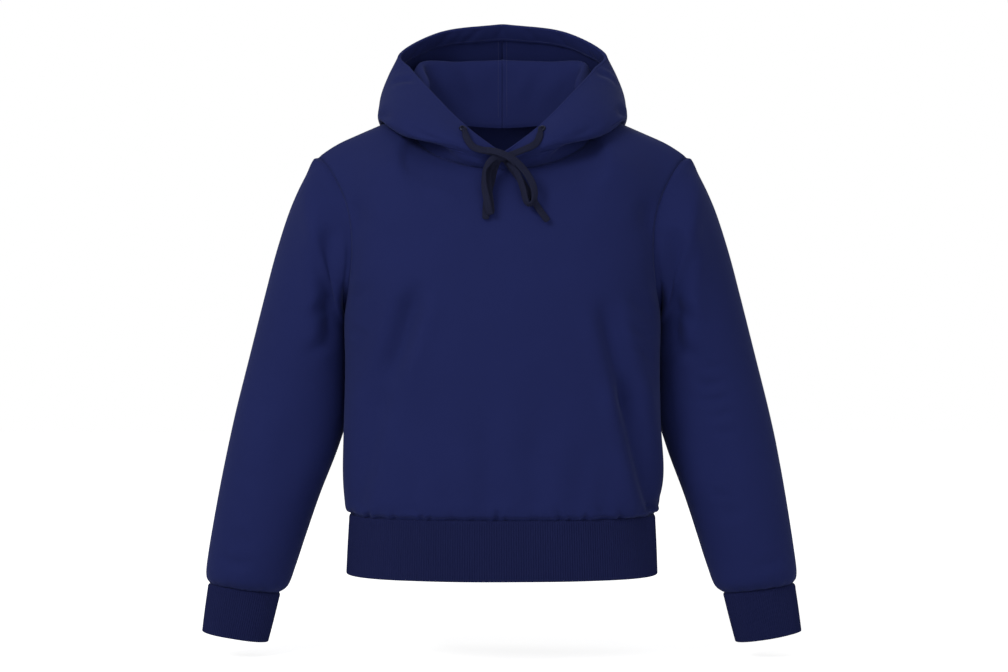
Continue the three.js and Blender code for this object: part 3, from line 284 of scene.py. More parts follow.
# Cord routes in millimetres: each point and the way its flat face looks
CORD_LEFT = [
    (-47.2, -88.3, 18.2, 0.1, 0.6, 0.8), (-46.5, -90.6, 18.6, 0.1, -0.2, 1), (-45.7, -93.6, 16, 0, -0.7, 0.7),
    (-44.7, -96.8, 11.6, 0, -0.9, 0.5), (-42.6, -100.2, 5.2, 0, -1, 0.3), (-38.6, -103.6, -1.8, 0, -1, 0.2),
    (-33, -105.8, -6.6, 0, -1, 0.1), (-25.5, -107.8, -9.3, 0.1, -1, 0.2), (-18, -108.6, -10.8, 0, -1, 0.2),
    (-9, -109, -13.5, 0, -1, 0),
]
CORD_RIGHT = [
    (47.2, -88.3, 18.2, -0.1, 0.6, 0.8), (46.5, -90.6, 18.6, -0.1, -0.2, 1), (45.9, -93.6, 16, 0, -0.7, 0.7),
    (45.2, -96.8, 11, 0, -0.9, 0.5), (43.4, -100.6, 4.2, 0.1, -1, 0.3), (39.6, -103.6, -1.6, 0.2, -0.9, 0.2),
    (34, -105.6, -5.4, 0.3, -0.8, 0.3), (27, -107, -8.4, 0.2, -0.8, 0.5), (18, -108.6, -12.4, 0.1, -0.8, 0.5),
    (8, -109, -16.5, 0, -1, 0.3),
]
LOOP_LEFT = [
    (-7, -112, -18, 0, -1, 0), (-15, -115, -24, -0.5, -0.9, 0.2), (-20.8, -117.5, -34, -0.9, -0.5, 0),
    (-22, -119, -46, -0.8, -0.6, 0), (-21, -120, -58, -0.5, -0.9, 0), (-18.4, -120.5, -70, -0.1, -1, 0),
    (-16.5, -120.5, -80, 0, -1, -0.2), (-14.5, -118.5, -86.5, 0.1, -0.3, -1), (-13.5, -115.5, -83, 0.3, 0.8, -0.5),
    (-14.5, -114.5, -72, 0.2, 1, 0), (-16.3, -113, -58, 0.2, 1, 0), (-17.3, -111.5, -44, 0.4, 0.9, 0),
    (-15.5, -110.5, -32, 0.5, 0.9, 0), (-6, -109.5, -21, 0, 1, 0),
]
LOOP_RIGHT = [
    (0, -114.5, -16.5, 0, -1, 0), (8, -117, -19, 0, -1, 0.2), (16, -117.8, -24, 0, -1, 0.2),
    (23.5, -117.8, -31.5, 0.1, -1, 0.1), (30, -118, -40, 0.1, -1, 0.1), (35, -118.8, -49, 0.2, -1, 0),
    (38, -120, -58.5, 0.4, -0.9, 0), (38.2, -121.5, -67, 0.6, -0.8, -0.2), (35.5, -122.5, -74, 0.5, -0.5, -0.7),
    (31, -122, -75.5, -0.2, -0.5, -0.85), (27.5, -120.5, -69, -0.6, -0.8, -0.2), (25, -118.5, -58, -0.6, -0.8, 0),
    (21, -116, -46, -0.6, -0.8, 0), (16.5, -113.5, -36, -0.4, -0.9, 0), (8, -110.5, -24, -0.3, -1, 0),
]
TAIL_LEFT = [
    (-4, -104, -19, 0, -1, 0), (-9, -103.5, -30, 0, -1, 0), (-13, -104.5, -46, 0, -1, 0),
    (-17.5, -109, -64, 0, -1, 0), (-19.5, -112.6, -80, -0.1, -1, 0), (-19.8, -115.4, -93, -0.1, -1, 0),
]
TAIL_RIGHT = [
    (3, -104, -20, 0, -1, 0), (12, -103.5, -32, 0, -1, 0), (25, -106.5, -50, 0.2, -1, 0),
    (37, -112, -70, 0.4, -0.9, 0), (46, -116, -84, 0.4, -0.9, 0.1), (54.5, -117.5, -95.5, 0.3, -0.9, 0.2),
]
WRAP = [
    (-21, -107.4, -10, 0.1, -1, 0.2), (-14, -111, -10.8, 0, -1, 0.3), (-7, -115, -12.4, 0, -1, 0.3),
    (0, -117.4, -15, 0.1, -1, 0.3), (7, -118.4, -18.6, 0.1, -1, 0.2), (13, -118.2, -22.8, 0.1, -1, 0.2),
    (17, -116.6, -27, 0.1, -1, 0.2),
]
KNOT = (-2, -109.5, -17, 9, 5, 7)
EYELET_PLACE = (-47.45, -87.7, 18.0)
EYELET_FACING = (0.26, -0.65, 0.72)
EYELET_PROFILE = [
    (2.6, 0), (2.5, 0.8), (2.6, 1.5), (3.0, 1.95), (3.6, 2.05), (4.2, 1.8), (4.7, 1.2), (4.9, 0.5), (4.95, 0),
]

CAMERA_PLACE = (0.0019, -2.6, -0.2325)
CAMERA_LENS = 74.3


class HoodieSettings(bpy.types.PropertyGroup):
    """Sizes and colours of the hoodie"""

    fleece: FloatProperty(
        name="Fleece", description="Thickness of the body's cloth",
        default=0.0024, min=0.001, max=0.004, unit="LENGTH", subtype="DISTANCE")
    rib_height: FloatProperty(
        name="Rib height", description="How far a rib of the waistband stands out",
        default=0.0009, min=0.0002, max=0.002, unit="LENGTH", subtype="DISTANCE")
    waist_ribs: IntProperty(
        name="Waistband ribs", description="Ribs round the waistband", default=340, min=100, max=480)
    cuff_ribs: IntProperty(
        name="Cuff ribs", description="Ribs round a cuff", default=84, min=40, max=120)
    seam_depth: FloatProperty(
        name="Seam depth", description="How far the cloth draws in along a seam",
        default=0.0015, min=0.0, max=0.003, unit="LENGTH", subtype="DISTANCE")
    stitch: FloatProperty(
        name="Stitch", description="Length from one stitch to the next",
        default=0.0032, min=0.002, max=0.006, unit="LENGTH", subtype="DISTANCE")
    thread: FloatProperty(
        name="Thread", description="Radius of the sewing thread",
        default=0.00024, min=0.0001, max=0.0006, unit="LENGTH", subtype="DISTANCE")
    cord_width: FloatProperty(
        name="Cord width", description="Width of the flat drawcord",
        default=0.0086, min=0.004, max=0.012, unit="LENGTH", subtype="DISTANCE")
    cord_thickness: FloatProperty(
        name="Cord thickness", description="Thickness of the flat drawcord",
        default=0.0032, min=0.002, max=0.005, unit="LENGTH", subtype="DISTANCE")
    fleece_colour: FloatVectorProperty(
        name="Fleece colour", description="Colour of the fleece", default=(0.0155, 0.0225, 0.112),
        size=3, min=0, max=1, subtype="COLOR")
    rib_colour: FloatVectorProperty(
        name="Rib colour", description="Colour of the waistband and the cuffs", default=(0.012, 0.0165, 0.078),
        size=3, min=0, max=1, subtype="COLOR")
    cord_colour: FloatVectorProperty(
        name="Cord colour", description="Colour of the drawcord", default=(0.0155, 0.018, 0.047),
        size=3, min=0, max=1, subtype="COLOR")


# Surfaces


def spline(knots, points, at):
    """Smooth curve through points that stand at the knots, read at the given places."""
    knots = np.asarray(knots, float)
    points = np.asarray(points, float)
    at = np.atleast_1d(np.asarray(at, float))
    last = len(knots) - 1
    shape = (-1,) + (1,) * (points.ndim - 1)
    order = np.arange(last + 1)
    lower = np.maximum(order - 1, 0)
    upper = np.minimum(order + 1, last)
    slopes = (points[upper] - points[lower]) / (knots[upper] - knots[lower]).reshape(shape)
    k = np.clip(np.searchsorted(knots, at, side="left") - 1, 0, last - 1)
    span = knots[k + 1] - knots[k]
    s = ((at - knots[k]) / span).reshape(shape)
    span = span.reshape(shape)
    return ((2 * s**3 - 3 * s**2 + 1) * points[k] + (s**3 - 2 * s**2 + s) * span * slopes[k]
            + (3 * s**2 - 2 * s**3) * points[k + 1] + (s**3 - s**2) * span * slopes[k + 1])


def smoothstep(low, high, value):
    t = np.clip((value - low) / (high - low), 0, 1)
    return t * t * (3 - 2 * t)


def unit(v):
    return v / np.maximum(np.linalg.norm(v, axis=-1, keepdims=True), 1e-12)


def quarter_section(half_width, depth, squareness, steps):
    """Quarter of a rounded rectangle, from the side seam at y = 0 to the middle."""
    angle = np.linspace(0, math.pi / 2, 2001)
    x = -half_width * np.abs(np.cos(angle)) ** (2 / squareness)
    x[-1] = 0
    y = depth * np.sin(angle) ** (2 / squareness)
    run = np.concatenate([[0], np.cumsum(np.hypot(np.diff(x), np.diff(y)))])
    want = np.linspace(0, run[-1], steps + 1)
    return np.stack([np.interp(want, run, x), np.interp(want, run, y)], axis=-1)


def across_row(row, is_top):
    """Fine points of a row of a panel's left half, from the armhole to the middle."""
    points = np.array(row, float)
    ghost = points[4] * (-1, 1, 1)
    place = np.linspace(0, HALF_STEPS, HALF_STEPS * FINER + 1)
    if not is_top:
        return spline([0, 2, 4, 6, 8, 10, 12], np.vstack([points, ghost]), place)
    shoulder = place[place <= SHOULDER_STEPS]
    neck = place[place > SHOULDER_STEPS]
    return np.vstack([
        spline([0, 2, 4], points[:3], shoulder),
        spline([4, 6, 8, 10, 12], np.vstack([points[2:], ghost]), neck),
    ])


def body_panel(upper_rows, side):
    """Outer points of the front (side -1) or the back (side 1), from the waist up."""
    controls = []
    for z, half_width, front, back, _ in BODY_SECTIONS:
        depth, squareness = (front, FRONT_SQUARENESS) if side < 0 else (back, BACK_SQUARENESS)
        section = quarter_section(half_width, depth, squareness, HALF_STEPS * FINER)
        controls.append(np.column_stack([section[:, 0], side * section[:, 1], np.full(len(section), z)]))
    for i, row in enumerate(upper_rows):
        controls.append(across_row(row, i == len(upper_rows) - 1))
    controls = np.array(controls)
    heights = [section[0] for section in BODY_SECTIONS]
    rises = list(np.diff(heights)) + [MEAN_RISE] * len(upper_rows)
    knots = np.concatenate([[0], np.cumsum(rises)])
    steps = [section[4] for section in BODY_SECTIONS] + UPPER_STEPS
    starts = np.concatenate([[0], np.cumsum(steps[:-1])])
    place = np.interp(np.arange(starts[-1] * FINER + 1) / FINER, starts, knots)
    half = spline(knots, controls, place)
    # along the side seam both panels follow the sections alone
    underarm = len(BODY_SECTIONS)
    below = place <= knots[underarm - 1]
    seam = spline(knots[:underarm], controls[:underarm, :FINER], place[below])
    share = (1 - np.arange(FINER) / FINER)[None, :, None]
    half[below, :FINER] = share * seam + (1 - share) * half[below, :FINER]
    half[:, -1, 0] = 0
    rise, middle, across, deep = SHOULDER_ROUND
    near = np.exp(-(((half[..., 0] + middle) / across) ** 2) - ((half[..., 1] - 4) / deep) ** 2)
    half[..., 2] += rise * near * smoothstep(-60, -30, half[..., 2])
    mirrored = half[:, :-1][:, ::-1] * (-1, 1, 1)
    return np.concatenate([half, mirrored], axis=1)


def grid_normals(grid, closed=False):
    """Directions square to a grid of rows and columns."""
    if closed:
        across = np.roll(grid, -1, axis=1) - np.roll(grid, 1, axis=1)
    else:
        across = np.gradient(grid, axis=1)
    up = np.gradient(grid, axis=0)
    return unit(np.cross(across, up))


def run_along(grid, axis):
    """Distance along the rows or columns of a grid from its first line."""
    steps = np.linalg.norm(np.diff(grid, axis=axis), axis=-1)
    first = np.zeros_like(np.take(steps, [0], axis=axis))
    return np.cumsum(np.concatenate([first, steps], axis=axis), axis=axis)


def crease(place, path, width, depth, fade, ridge=0.35):
    """Depth of a soft trough along a path, with a low ridge on each side."""
    path = np.array(path, float)
    path = spline(np.arange(len(path)), path, np.linspace(0, len(path) - 1, 25))
    run = np.concatenate([[0], np.cumsum(np.linalg.norm(np.diff(path, axis=0), axis=1))])
    best = np.full(place.shape[:-1], np.inf)
    along = np.zeros(place.shape[:-1])
    for a, b, start in zip(path[:-1], path[1:], run[:-1]):
        way = b - a
        length = np.linalg.norm(way)
        t = np.clip(((place - a) @ way) / length**2, 0, 1)
        off = np.linalg.norm(place - a - t[..., None] * way, axis=-1)
        closer = off < best
        best = np.where(closer, off, best)
        along = np.where(closer, (start + t * length) / run[-1], along)
    strength = np.ones_like(along)
    if fade[0] > 0:
        strength = strength * smoothstep(0, fade[0], along)
    if fade[1] > 0:
        strength = strength * smoothstep(0, fade[1], 1 - along)
    trough = np.exp(-((best / width) ** 2))
    beside = np.exp(-(((best - 1.9 * width) / width) ** 2))
    return depth * strength * (trough - ridge * beside)


def gathers(place, table, seam_z):
    """Depth of the small gathers that stand on a seam."""
    total = np.zeros(place.shape[:-1])
    for x, length, width, depth, slant in table:
        path = [(x, seam_z), (x + slant * 0.4, seam_z + length * 0.5), (x + slant, seam_z + length)]
        total += crease(place, path, width, depth, (0, 0.9), 0.5)
    return total


def seam_draw(distance, depth, width=2.6):
    """How far the cloth draws in at a distance from a seam."""
    return depth * np.exp(-((distance / width) ** 2))


# Meshes


def mesh_object(name, points, faces, uvs, material):
    """Smooth mesh with an own cloth map; its faces are turned to point out."""
    lengths = [len(face) for face in faces]
    corners = np.array([points[list(face[:3])] for face in faces])
    volume = np.einsum("ij,ij->i", corners[:, 0], np.cross(corners[:, 1], corners[:, 2])).sum()
    quads = [(points[face[0]], points[face[2]], points[face[3]]) for face in faces if len(face) == 4]
    quads = np.array(quads)
    volume += np.einsum("ij,ij->i", quads[:, 0], np.cross(quads[:, 1], quads[:, 2])).sum()
    if volume < 0:
        faces = [tuple(reversed(face)) for face in faces]
        turned = []
        at = 0
        for length in lengths:
            turned.extend(reversed(uvs[at:at + length]))
            at += length
        uvs = turned
    mesh = bpy.data.meshes.new(name)
    mesh.from_pydata(points.tolist(), [], faces)
    layer = mesh.uv_layers.new(name="Cloth")
    layer.data.foreach_set("uv", np.array(uvs, float).ravel())
    mesh.polygons.foreach_set("use_smooth", [True] * len(mesh.polygons))
    mesh.materials.append(material)
    mesh.update()
    made = bpy.data.objects.new(name, mesh)
    bpy.context.collection.objects.link(made)
    return made


def shell(name, outer, inner, material, closed=False, bulge=(0.5, 0.5)):
    """Thin closed shell between two grids, in millimetres, with rounded first and last edges."""
    rounds = 3

    def arc(first, second, beyond, share):
        middle = (first + second) / 2
        half = (first - second) / 2
        radius = np.linalg.norm(half, axis=-1, keepdims=True)
        turns = [math.pi * (k + 1) / (rounds + 1) for k in range(rounds)]
        return [middle + math.cos(a) * half + math.sin(a) * radius * share * beyond for a in turns]

    last_way = unit(outer[-1] - outer[-2])
    first_way = unit(outer[0] - outer[1])
    lines = [*outer, *arc(outer[-1], inner[-1], last_way, bulge[1])]
    lines += [*inner[::-1], *arc(inner[0], outer[0], first_way, bulge[0])]
    lines = np.array(lines)
    rows, columns = lines.shape[:2]
    count = len(outer)
    points = lines.reshape(-1, 3) * MM
    middle = lines[:, columns // 2]
    down = np.linalg.norm(np.diff(np.vstack([middle, middle[:1]]), axis=0), axis=1)
    v = np.concatenate([[0], np.cumsum(down)])
    wide = np.linalg.norm(np.diff(outer[count // 2], axis=0), axis=1).mean()
    reach = columns if closed else columns - 1
    faces = []
    uvs = []
    for i in range(rows):
        below = i * columns
        above = ((i + 1) % rows) * columns
        for j in range(reach):
            k = (j + 1) % columns
            faces.append((below + j, below + k, above + k, above + j))
            left, right = j * wide, (j + 1) * wide
            uvs += [(left, v[i]), (right, v[i]), (right, v[i + 1]), (left, v[i + 1])]
    if not closed:
        for column, flip in ((0, False), (columns - 1, True)):
            at = [i * columns + column for i in range(rows)]
            lids = []
            for i in range(count - 1):
                back = count + rounds + (count - 1 - i)
                lids.append((at[i], at[i + 1], at[back - 1], at[back]))
            lids.append(tuple(at[count - 1:count + rounds + 1]))
            lids.append(tuple([*at[rows - rounds - 1:], at[0]]))
            for face in lids:
                faces.append(tuple(reversed(face)) if flip else face)
                uvs += [(0, 0)] * len(face)
    return mesh_object(name, points, faces, uvs, material)


def tube_mesh(name, lines, material, cap=True):
    """Mesh from closed rings of points in millimetres, with both ends closed by a fan."""
    lines = np.array(lines)
    rows, columns = lines.shape[:2]
    points = lines.reshape(-1, 3)
    middle = lines.mean(axis=1)
    run = np.concatenate([[0], np.cumsum(np.linalg.norm(np.diff(middle, axis=0), axis=1))])
    around = np.linalg.norm(np.diff(lines[rows // 2], axis=0, append=lines[rows // 2][:1]), axis=1)
    u = np.concatenate([[0], np.cumsum(around)])
    faces = []
    uvs = []
    for i in range(rows - 1):
        for j in range(columns):
            k = (j + 1) % columns
            faces.append((i * columns + j, i * columns + k, (i + 1) * columns + k, (i + 1) * columns + j))
            uvs += [(u[j], run[i]), (u[j + 1], run[i]), (u[j + 1], run[i + 1]), (u[j], run[i + 1])]
    if cap:
        points = np.vstack([points, middle[0], middle[-1]])
        for ring, centre, flip in ((0, len(points) - 2, True), (rows - 1, len(points) - 1, False)):
            for j in range(columns):
                k = (j + 1) % columns
                face = (ring * columns + j, ring * columns + k, centre)
                faces.append(tuple(reversed(face)) if flip else face)
                uvs += [(0, run[ring])] * 3
    return mesh_object(name, points * MM, faces, uvs, material)


def enlist(piece, nodes):
    """Hangs a piece under the root body and hides the imported nodes that it stands for."""
    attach(piece, "root")
    if nodes:
        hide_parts(*nodes)
    return piece


# Materials


class Nodes:
    """Short way to lay out a material's nodes"""

    def __init__(self, name):
        self.material = bpy.data.materials.new(name)
        self.material.use_nodes = True
        self.tree = self.material.node_tree
        self.tree.nodes.clear()
        self.output = self.tree.nodes.new("ShaderNodeOutputMaterial")
        self.shader = self.tree.nodes.new("ShaderNodeBsdfPrincipled")
        self.tree.links.new(self.shader.outputs[0], self.output.inputs["Surface"])

    def add(self, kind, **values):
        node = self.tree.nodes.new(kind)
        for key, value in values.items():
            setattr(node, key, value)
        return node

    def link(self, source, target):
        self.tree.links.new(source, target)

    def math(self, operation, first, second=None):
        node = self.add("ShaderNodeMath", operation=operation)
        for socket, value in zip(node.inputs, (first, second)):
            if value is None:
                continue
            if isinstance(value, (int, float)):
                socket.default_value = value
            else:
                self.link(value, socket)
        return node.outputs[0]

    def noise(self, scale, detail=3.0, roughness=0.5):
        place = self.add("ShaderNodeTexCoord")
        node = self.add("ShaderNodeTexNoise")
        self.link(place.outputs["Object"], node.inputs["Vector"])
        node.inputs["Scale"].default_value = scale
        node.inputs["Detail"].default_value = detail
        node.inputs["Roughness"].default_value = roughness
        return node.outputs["Fac"]

    def cloth_axes(self):
        cloth = self.add("ShaderNodeUVMap", uv_map="Cloth")
        split = self.add("ShaderNodeSeparateXYZ")
        self.link(cloth.outputs[0], split.inputs[0])
        return split.outputs[0], split.outputs[1]

    def tint(self, colour, low, high, factor):
        """Base colour that varies a little with a factor."""
        ramp = self.add("ShaderNodeMixRGB", blend_type="MIX")
        ramp.inputs[1].default_value = (*[c * low for c in colour], 1)
        ramp.inputs[2].default_value = (*[c * high for c in colour], 1)
        self.link(factor, ramp.inputs[0])
        self.link(ramp.outputs[0], self.shader.inputs["Base Color"])

    def bump(self, height, distance, strength=1.0):
        node = self.add("ShaderNodeBump")
        node.inputs["Strength"].default_value = strength
        node.inputs["Distance"].default_value = distance
        self.link(height, node.inputs["Height"])
        self.link(node.outputs[0], self.shader.inputs["Normal"])


def knit_height(nodes, wale, course):
    """Height of plain knit: columns of small V stitches, from the cloth map in millimetres."""
    u, v = nodes.cloth_axes()
    across = nodes.math("FRACT", nodes.math("DIVIDE", u, wale))
    side = nodes.math("MULTIPLY", nodes.math("ABSOLUTE", nodes.math("SUBTRACT", across, 0.5)), 2.0)
    slanted = nodes.math("ADD", nodes.math("DIVIDE", v, course), nodes.math("MULTIPLY", side, 0.7))
    wave = nodes.math("SINE", nodes.math("MULTIPLY", slanted, 2 * math.pi))
    groove = nodes.math("POWER", side, 5.0)
    return nodes.math("SUBTRACT", nodes.math("MULTIPLY", wave, 0.4), groove)


def cloth_material(name, colour, wale, course, sheen, depth=0.00012):
    nodes = Nodes(name)
    shader = nodes.shader
    shader.inputs["Roughness"].default_value = 0.82
    shader.inputs["Specular IOR Level"].default_value = 0.1
    shader.inputs["Sheen Weight"].default_value = sheen
    shader.inputs["Sheen Roughness"].default_value = 0.45
    shader.inputs["Sheen Tint"].default_value = (0.42, 0.5, 1.0, 1)
    cloud = nodes.noise(9.0, 4.0, 0.55)
    fuzz = nodes.noise(1400.0, 2.0, 0.6)
    nodes.tint(colour, 0.9, 1.1, cloud)
    knit = knit_height(nodes, wale, course)
    height = nodes.math("ADD", nodes.math("MULTIPLY", knit, 0.5), nodes.math("MULTIPLY", fuzz, 0.8))
    nodes.bump(height, depth, 0.7)
    return nodes.material


def braid_material(name, colour):
    """Flat braided cord: two families of slanting strands, with painted shade in the grooves between them."""
    nodes = Nodes(name)
    nodes.shader.inputs["Roughness"].default_value = 0.78
    nodes.shader.inputs["Specular IOR Level"].default_value = 0.15
    u, v = nodes.cloth_axes()
    one = nodes.math("SINE", nodes.math("MULTIPLY", nodes.math("ADD", u, v), 2 * math.pi / 1.5))
    other = nodes.math("SINE", nodes.math("MULTIPLY", nodes.math("SUBTRACT", u, v), 2 * math.pi / 1.5))
    weave = nodes.math("MAXIMUM", one, other)
    # the colour follows the weave's height: painted shade in the grooves between strands, lighter on the strand
    # crowns
    level = nodes.math("MULTIPLY_ADD", weave, 0.5)
    nodes.tint(colour, 0.65, 1.25, level)
    nodes.bump(weave, 0.0003, 0.9)
    return nodes.material


def metal_material(name):
    nodes = Nodes(name)
    nodes.shader.inputs["Base Color"].default_value = (0.035, 0.04, 0.075, 1)
    nodes.shader.inputs["Metallic"].default_value = 0.85
    nodes.shader.inputs["Roughness"].default_value = 0.28
    nodes.bump(nodes.noise(900.0), 0.00005, 0.4)
    return nodes.material


def thread_material(name, colour):
    nodes = Nodes(name)
    nodes.shader.inputs["Roughness"].default_value = 0.6
    nodes.shader.inputs["Sheen Weight"].default_value = 0.2
    nodes.tint(colour, 0.9, 1.2, nodes.noise(300.0))
    return nodes.material


def floor_material(name):
    """Pale matt floor that looks as white as the light behind it, with only faint shadows."""
    nodes = Nodes(name)
    nodes.shader.inputs["Base Color"].default_value = (0.9, 0.9, 0.9, 1)
    nodes.shader.inputs["Roughness"].default_value = 0.95
    nodes.shader.inputs["Specular IOR Level"].default_value = 0.0
    nodes.shader.inputs["Emission Color"].default_value = (1, 1, 1, 1)
    seen = nodes.add("ShaderNodeLightPath")
    glow = nodes.math("MULTIPLY", seen.outputs["Is Camera Ray"], FLOOR_GLOW)
    nodes.link(glow, nodes.shader.inputs["Emission Strength"])
    return nodes.material


def finish_of(name):
    """The shared finish of that name, made on first use."""
    settings = bpy.context.scene.hoodie
    found = bpy.data.materials.get(name)
    if found:
        return found
    if name == "Fleece":
        return cloth_material(name, settings.fleece_colour, 1.25, 1.0, 0.1)
    if name == "Rib":
        return cloth_material(name, settings.rib_colour, 1.5, 1.1, 0.08, 0.00008)
    if name == "Drawcord":
        return braid_material(name, settings.cord_colour)
    if name == "Eyelet metal":
        return metal_material(name)
    return thread_material("Thread", [c * 1.35 for c in settings.fleece_colour])


# Pieces of the body, kept for the pieces that meet them

built = {}


def body_surfaces():
    """Outer and inner grids of the front and back, with their seams drawn in."""
    if "front" in built:
        return built
    settings = bpy.context.scene.hoodie
    thickness = settings.fleece / MM
    draw = settings.seam_depth / MM
    grids = {"front": body_panel(FRONT_ROWS, -1), "back": body_panel(BACK_ROWS, 1)}
    ways = {"front": grid_normals(grids["front"]), "back": -grid_normals(grids["back"])}
    underarm = sum(section[4] for section in BODY_SECTIONS[:-1]) * FINER
    top = len(grids["front"]) - 1
    shoulder = SHOULDER_STEPS * FINER
    wide = grids["front"].shape[1] - 1
    # both panels face the same way along the seams they share, and ease to it
    sides = [(slice(0, underarm + 1), j, FINER) for j in (0, wide)]
    for rows, column, reach in sides:
        mean = unit(ways["front"][rows, column] + ways["back"][rows, column])
        for way in ways.values():
            for k in range(reach):
                share = 1 - k / reach
                at = column + k if column == 0 else column - k
                way[rows, at] = unit(way[rows, at] * (1 - share) + mean * share)
    for columns in (slice(0, shoulder + 1), slice(wide - shoulder, wide + 1)):
        mean = unit(ways["front"][top, columns] + ways["back"][top, columns])
        for way in ways.values():
            for k in range(FINER // 2):
                share = 1 - k / (FINER // 2)
                way[top - k, columns] = unit(way[top - k, columns] * (1 - share) + mean * share)
    for name, creases, table in (("front", FRONT_CREASES, FRONT_GATHERS), ("back", BACK_CREASES, BACK_GATHERS)):
        grid, way = grids[name], ways[name]
        way[0] = unit(way[0] * (1, 1, 0))
        place = grid[..., (0, 2)]
        depth = np.zeros(place.shape[:-1])
        for path, width, deep, fade in creases:
            depth += crease(place, path, width, deep, fade)
        depth += 1.3 * gathers(place, table, BODY_SECTIONS[0][0])
        across = run_along(grid, 1)
        up = run_along(grid, 0)
        from_edge = np.minimum(across, across[:, -1:] - across)
        depth *= smoothstep(0, 9, from_edge)
        depth += seam_draw(from_edge, draw * 1.3)
        depth += seam_draw(up, draw * 1.3, 3.2)
        depth += seam_draw(up[-1:] - up, draw * 0.8) * (from_edge > 0)
        depth -= np.maximum(depth - DEEPEST_AT_HEM, 0) * (1 - smoothstep(2, 9, up))
        outer = grid - way * depth[..., None]
        built[name] = outer
        built[name + "_lining"] = outer - way * thickness
        built[name + "_way"] = way
    built["underarm"] = underarm
    return built


def sleeve_surfaces(side):
    """Outer and inner rings of a sleeve; side is -1 for the left and 1 for the right."""
    grids = body_surfaces()
    settings = bpy.context.scene.hoodie
    thickness = settings.fleece / MM
    plain = {"front": body_panel(FRONT_ROWS, -1), "back": body_panel(BACK_ROWS, 1)}
    underarm = grids["underarm"]
    top = len(plain["front"]) - 1

    def loop(front, back):
        return np.vstack([front[underarm:, 0][::-1], back[underarm + 1:top, 0]])

    edge = loop(plain["front"], plain["back"])
    drawn = loop(grids["front"], grids["back"])
    inward = loop(plain["front"][:, FINER:], plain["back"][:, FINER:])
    count = len(edge)
    coarse = edge[::FINER]
    onward = unit(coarse - inward[::FINER])
    half = len(coarse) // 2
    for k, lift in enumerate(UNDERARM_LIFT):
        for j in {half - k, half + k}:
            onward[j] = (-0.3, 0, 1) if k == 0 else unit(onward[j] + (0, 0, lift))
    for j, drop in HEAD_DROP:
        onward[j] = unit(onward[j] - (0, 0, drop))
    second = coarse + unit(onward + (-1, 0, 0)) * SLEEVE_SETBACK
    turn = np.arange(-3, len(coarse) + 4)
    fine = np.linspace(0, len(coarse), count, endpoint=False)
    second = spline(turn, second[turn % len(coarse)], fine)
    angle = 2 * math.pi * np.arange(count) / count
    controls = [edge, second]
    controls += [ring_points(ring, angle) for ring in SLEEVE_RINGS]
    controls = np.array(controls)
    gaps = np.linalg.norm(np.diff(controls[:, ::FINER], axis=0), axis=-1).mean(axis=1)
    knots = np.concatenate([[0], np.cumsum(gaps)])
    place = np.concatenate([np.linspace(0, knots[1], 5)[:-1], np.linspace(knots[1], knots[-1], 124)])
    rings = spline(knots, controls, place)
    way = grid_normals(rings, closed=True)
    middle = rings.mean(axis=1, keepdims=True)
    if np.sum(way * (rings - middle)) < 0:
        way = -way
    axis = cuff_axis()
    ease = smoothstep(len(place) - 4, len(place) - 1, np.arange(len(place)))[:, None, None]
    way = unit(way - ease * (way @ axis)[..., None] * axis)
    run = run_along(rings, 0)
    creases = LEFT_SLEEVE_CREASES if side < 0 else RIGHT_SLEEVE_CREASES
    spot = rings[..., (0, 2)] * (-side, 1)
    depth = np.zeros(run.shape)
    for path, width, deep, fade, face in creases:
        facing = smoothstep(-0.25, 0.35, -way[..., 1] * face)
        depth += facing * crease(spot, path, width, 1.8 * deep, fade)
    depth *= smoothstep(0, 12, run)
    to_cuff = run[-1:] - run
    gather = np.zeros(run.shape)
    for k, (turn_at, wide, deep, length) in enumerate(CUFF_GATHERS):
        off = np.abs((angle[None] - turn_at + math.pi) % (2 * math.pi) - math.pi) * 38
        gather += deep * np.exp(-((off / wide) ** 2)) * (1 - smoothstep(0, length, to_cuff))
    depth += gather
    depth += seam_draw(to_cuff, settings.seam_depth / MM * 1.2, 3.0)
    outer = rings - way * depth[..., None]
    # the first rows ease to the panels' own drawn-in edge
    change = (drawn - outer[0])[None] * np.exp(-((run / 4) ** 2))[..., None]
    outer = outer + change
    lining = outer - way * thickness
    if side > 0:
        lean = np.clip((LEAN_FROM - rings[..., 2]) / (LEAN_FROM - LEAN_TO), 0, 1) * LEAN_REACH
        outer = outer * (-1, 1, 1) - lean[..., None] * (1, 0, 0)
        lining = lining * (-1, 1, 1) - lean[..., None] * (1, 0, 0)
    return outer, lining


def ring_points(ring, angle):
    out_x, out_z, in_x, in_z, y, half_depth = ring
    out = np.array([out_x, y, out_z])
    inside = np.array([in_x, y, in_z])
    points = (out + inside) / 2 + (out - inside) / 2 * np.cos(angle)[:, None]
    points[:, 1] -= half_depth * np.sin(angle)
    return points


def cuff_axis():
    """Direction of the cuff, from the sleeve to the hand."""
    out_x, out_z, in_x, in_z = CUFF_TOP[:4]
    axis = unit(np.cross((out_x - in_x, 0, out_z - in_z), (0, 1, 0)))
    return -axis if axis[2] > 0 else axis


# Gathers over a cuff: turn round the sleeve from its outermost line, width, depth, length
CUFF_GATHERS = [
    (0.35, 4, 1.3, 26), (0.8, 3, 0.9, 16), (1.2, 4, 1.5, 30), (1.65, 3, 1.0, 18),
    (2.1, 4, 1.4, 24), (2.6, 3, 1.0, 15), (3.3, 4, 1.2, 22), (3.9, 3, 1.1, 18),
    (4.4, 4, 1.5, 28), (4.9, 3, 0.9, 16), (5.4, 4, 1.3, 24), (5.9, 3, 1.0, 17),
]


def even_ring(points, count):
    """Closed ring of points, spaced evenly along it."""
    closed = np.vstack([points, points[:1]])
    run = np.concatenate([[0], np.cumsum(np.linalg.norm(np.diff(closed, axis=0), axis=1))])
    want = np.linspace(0, run[-1], count, endpoint=False)
    return np.stack([np.interp(want, run, closed[:, k]) for k in range(3)], axis=-1)


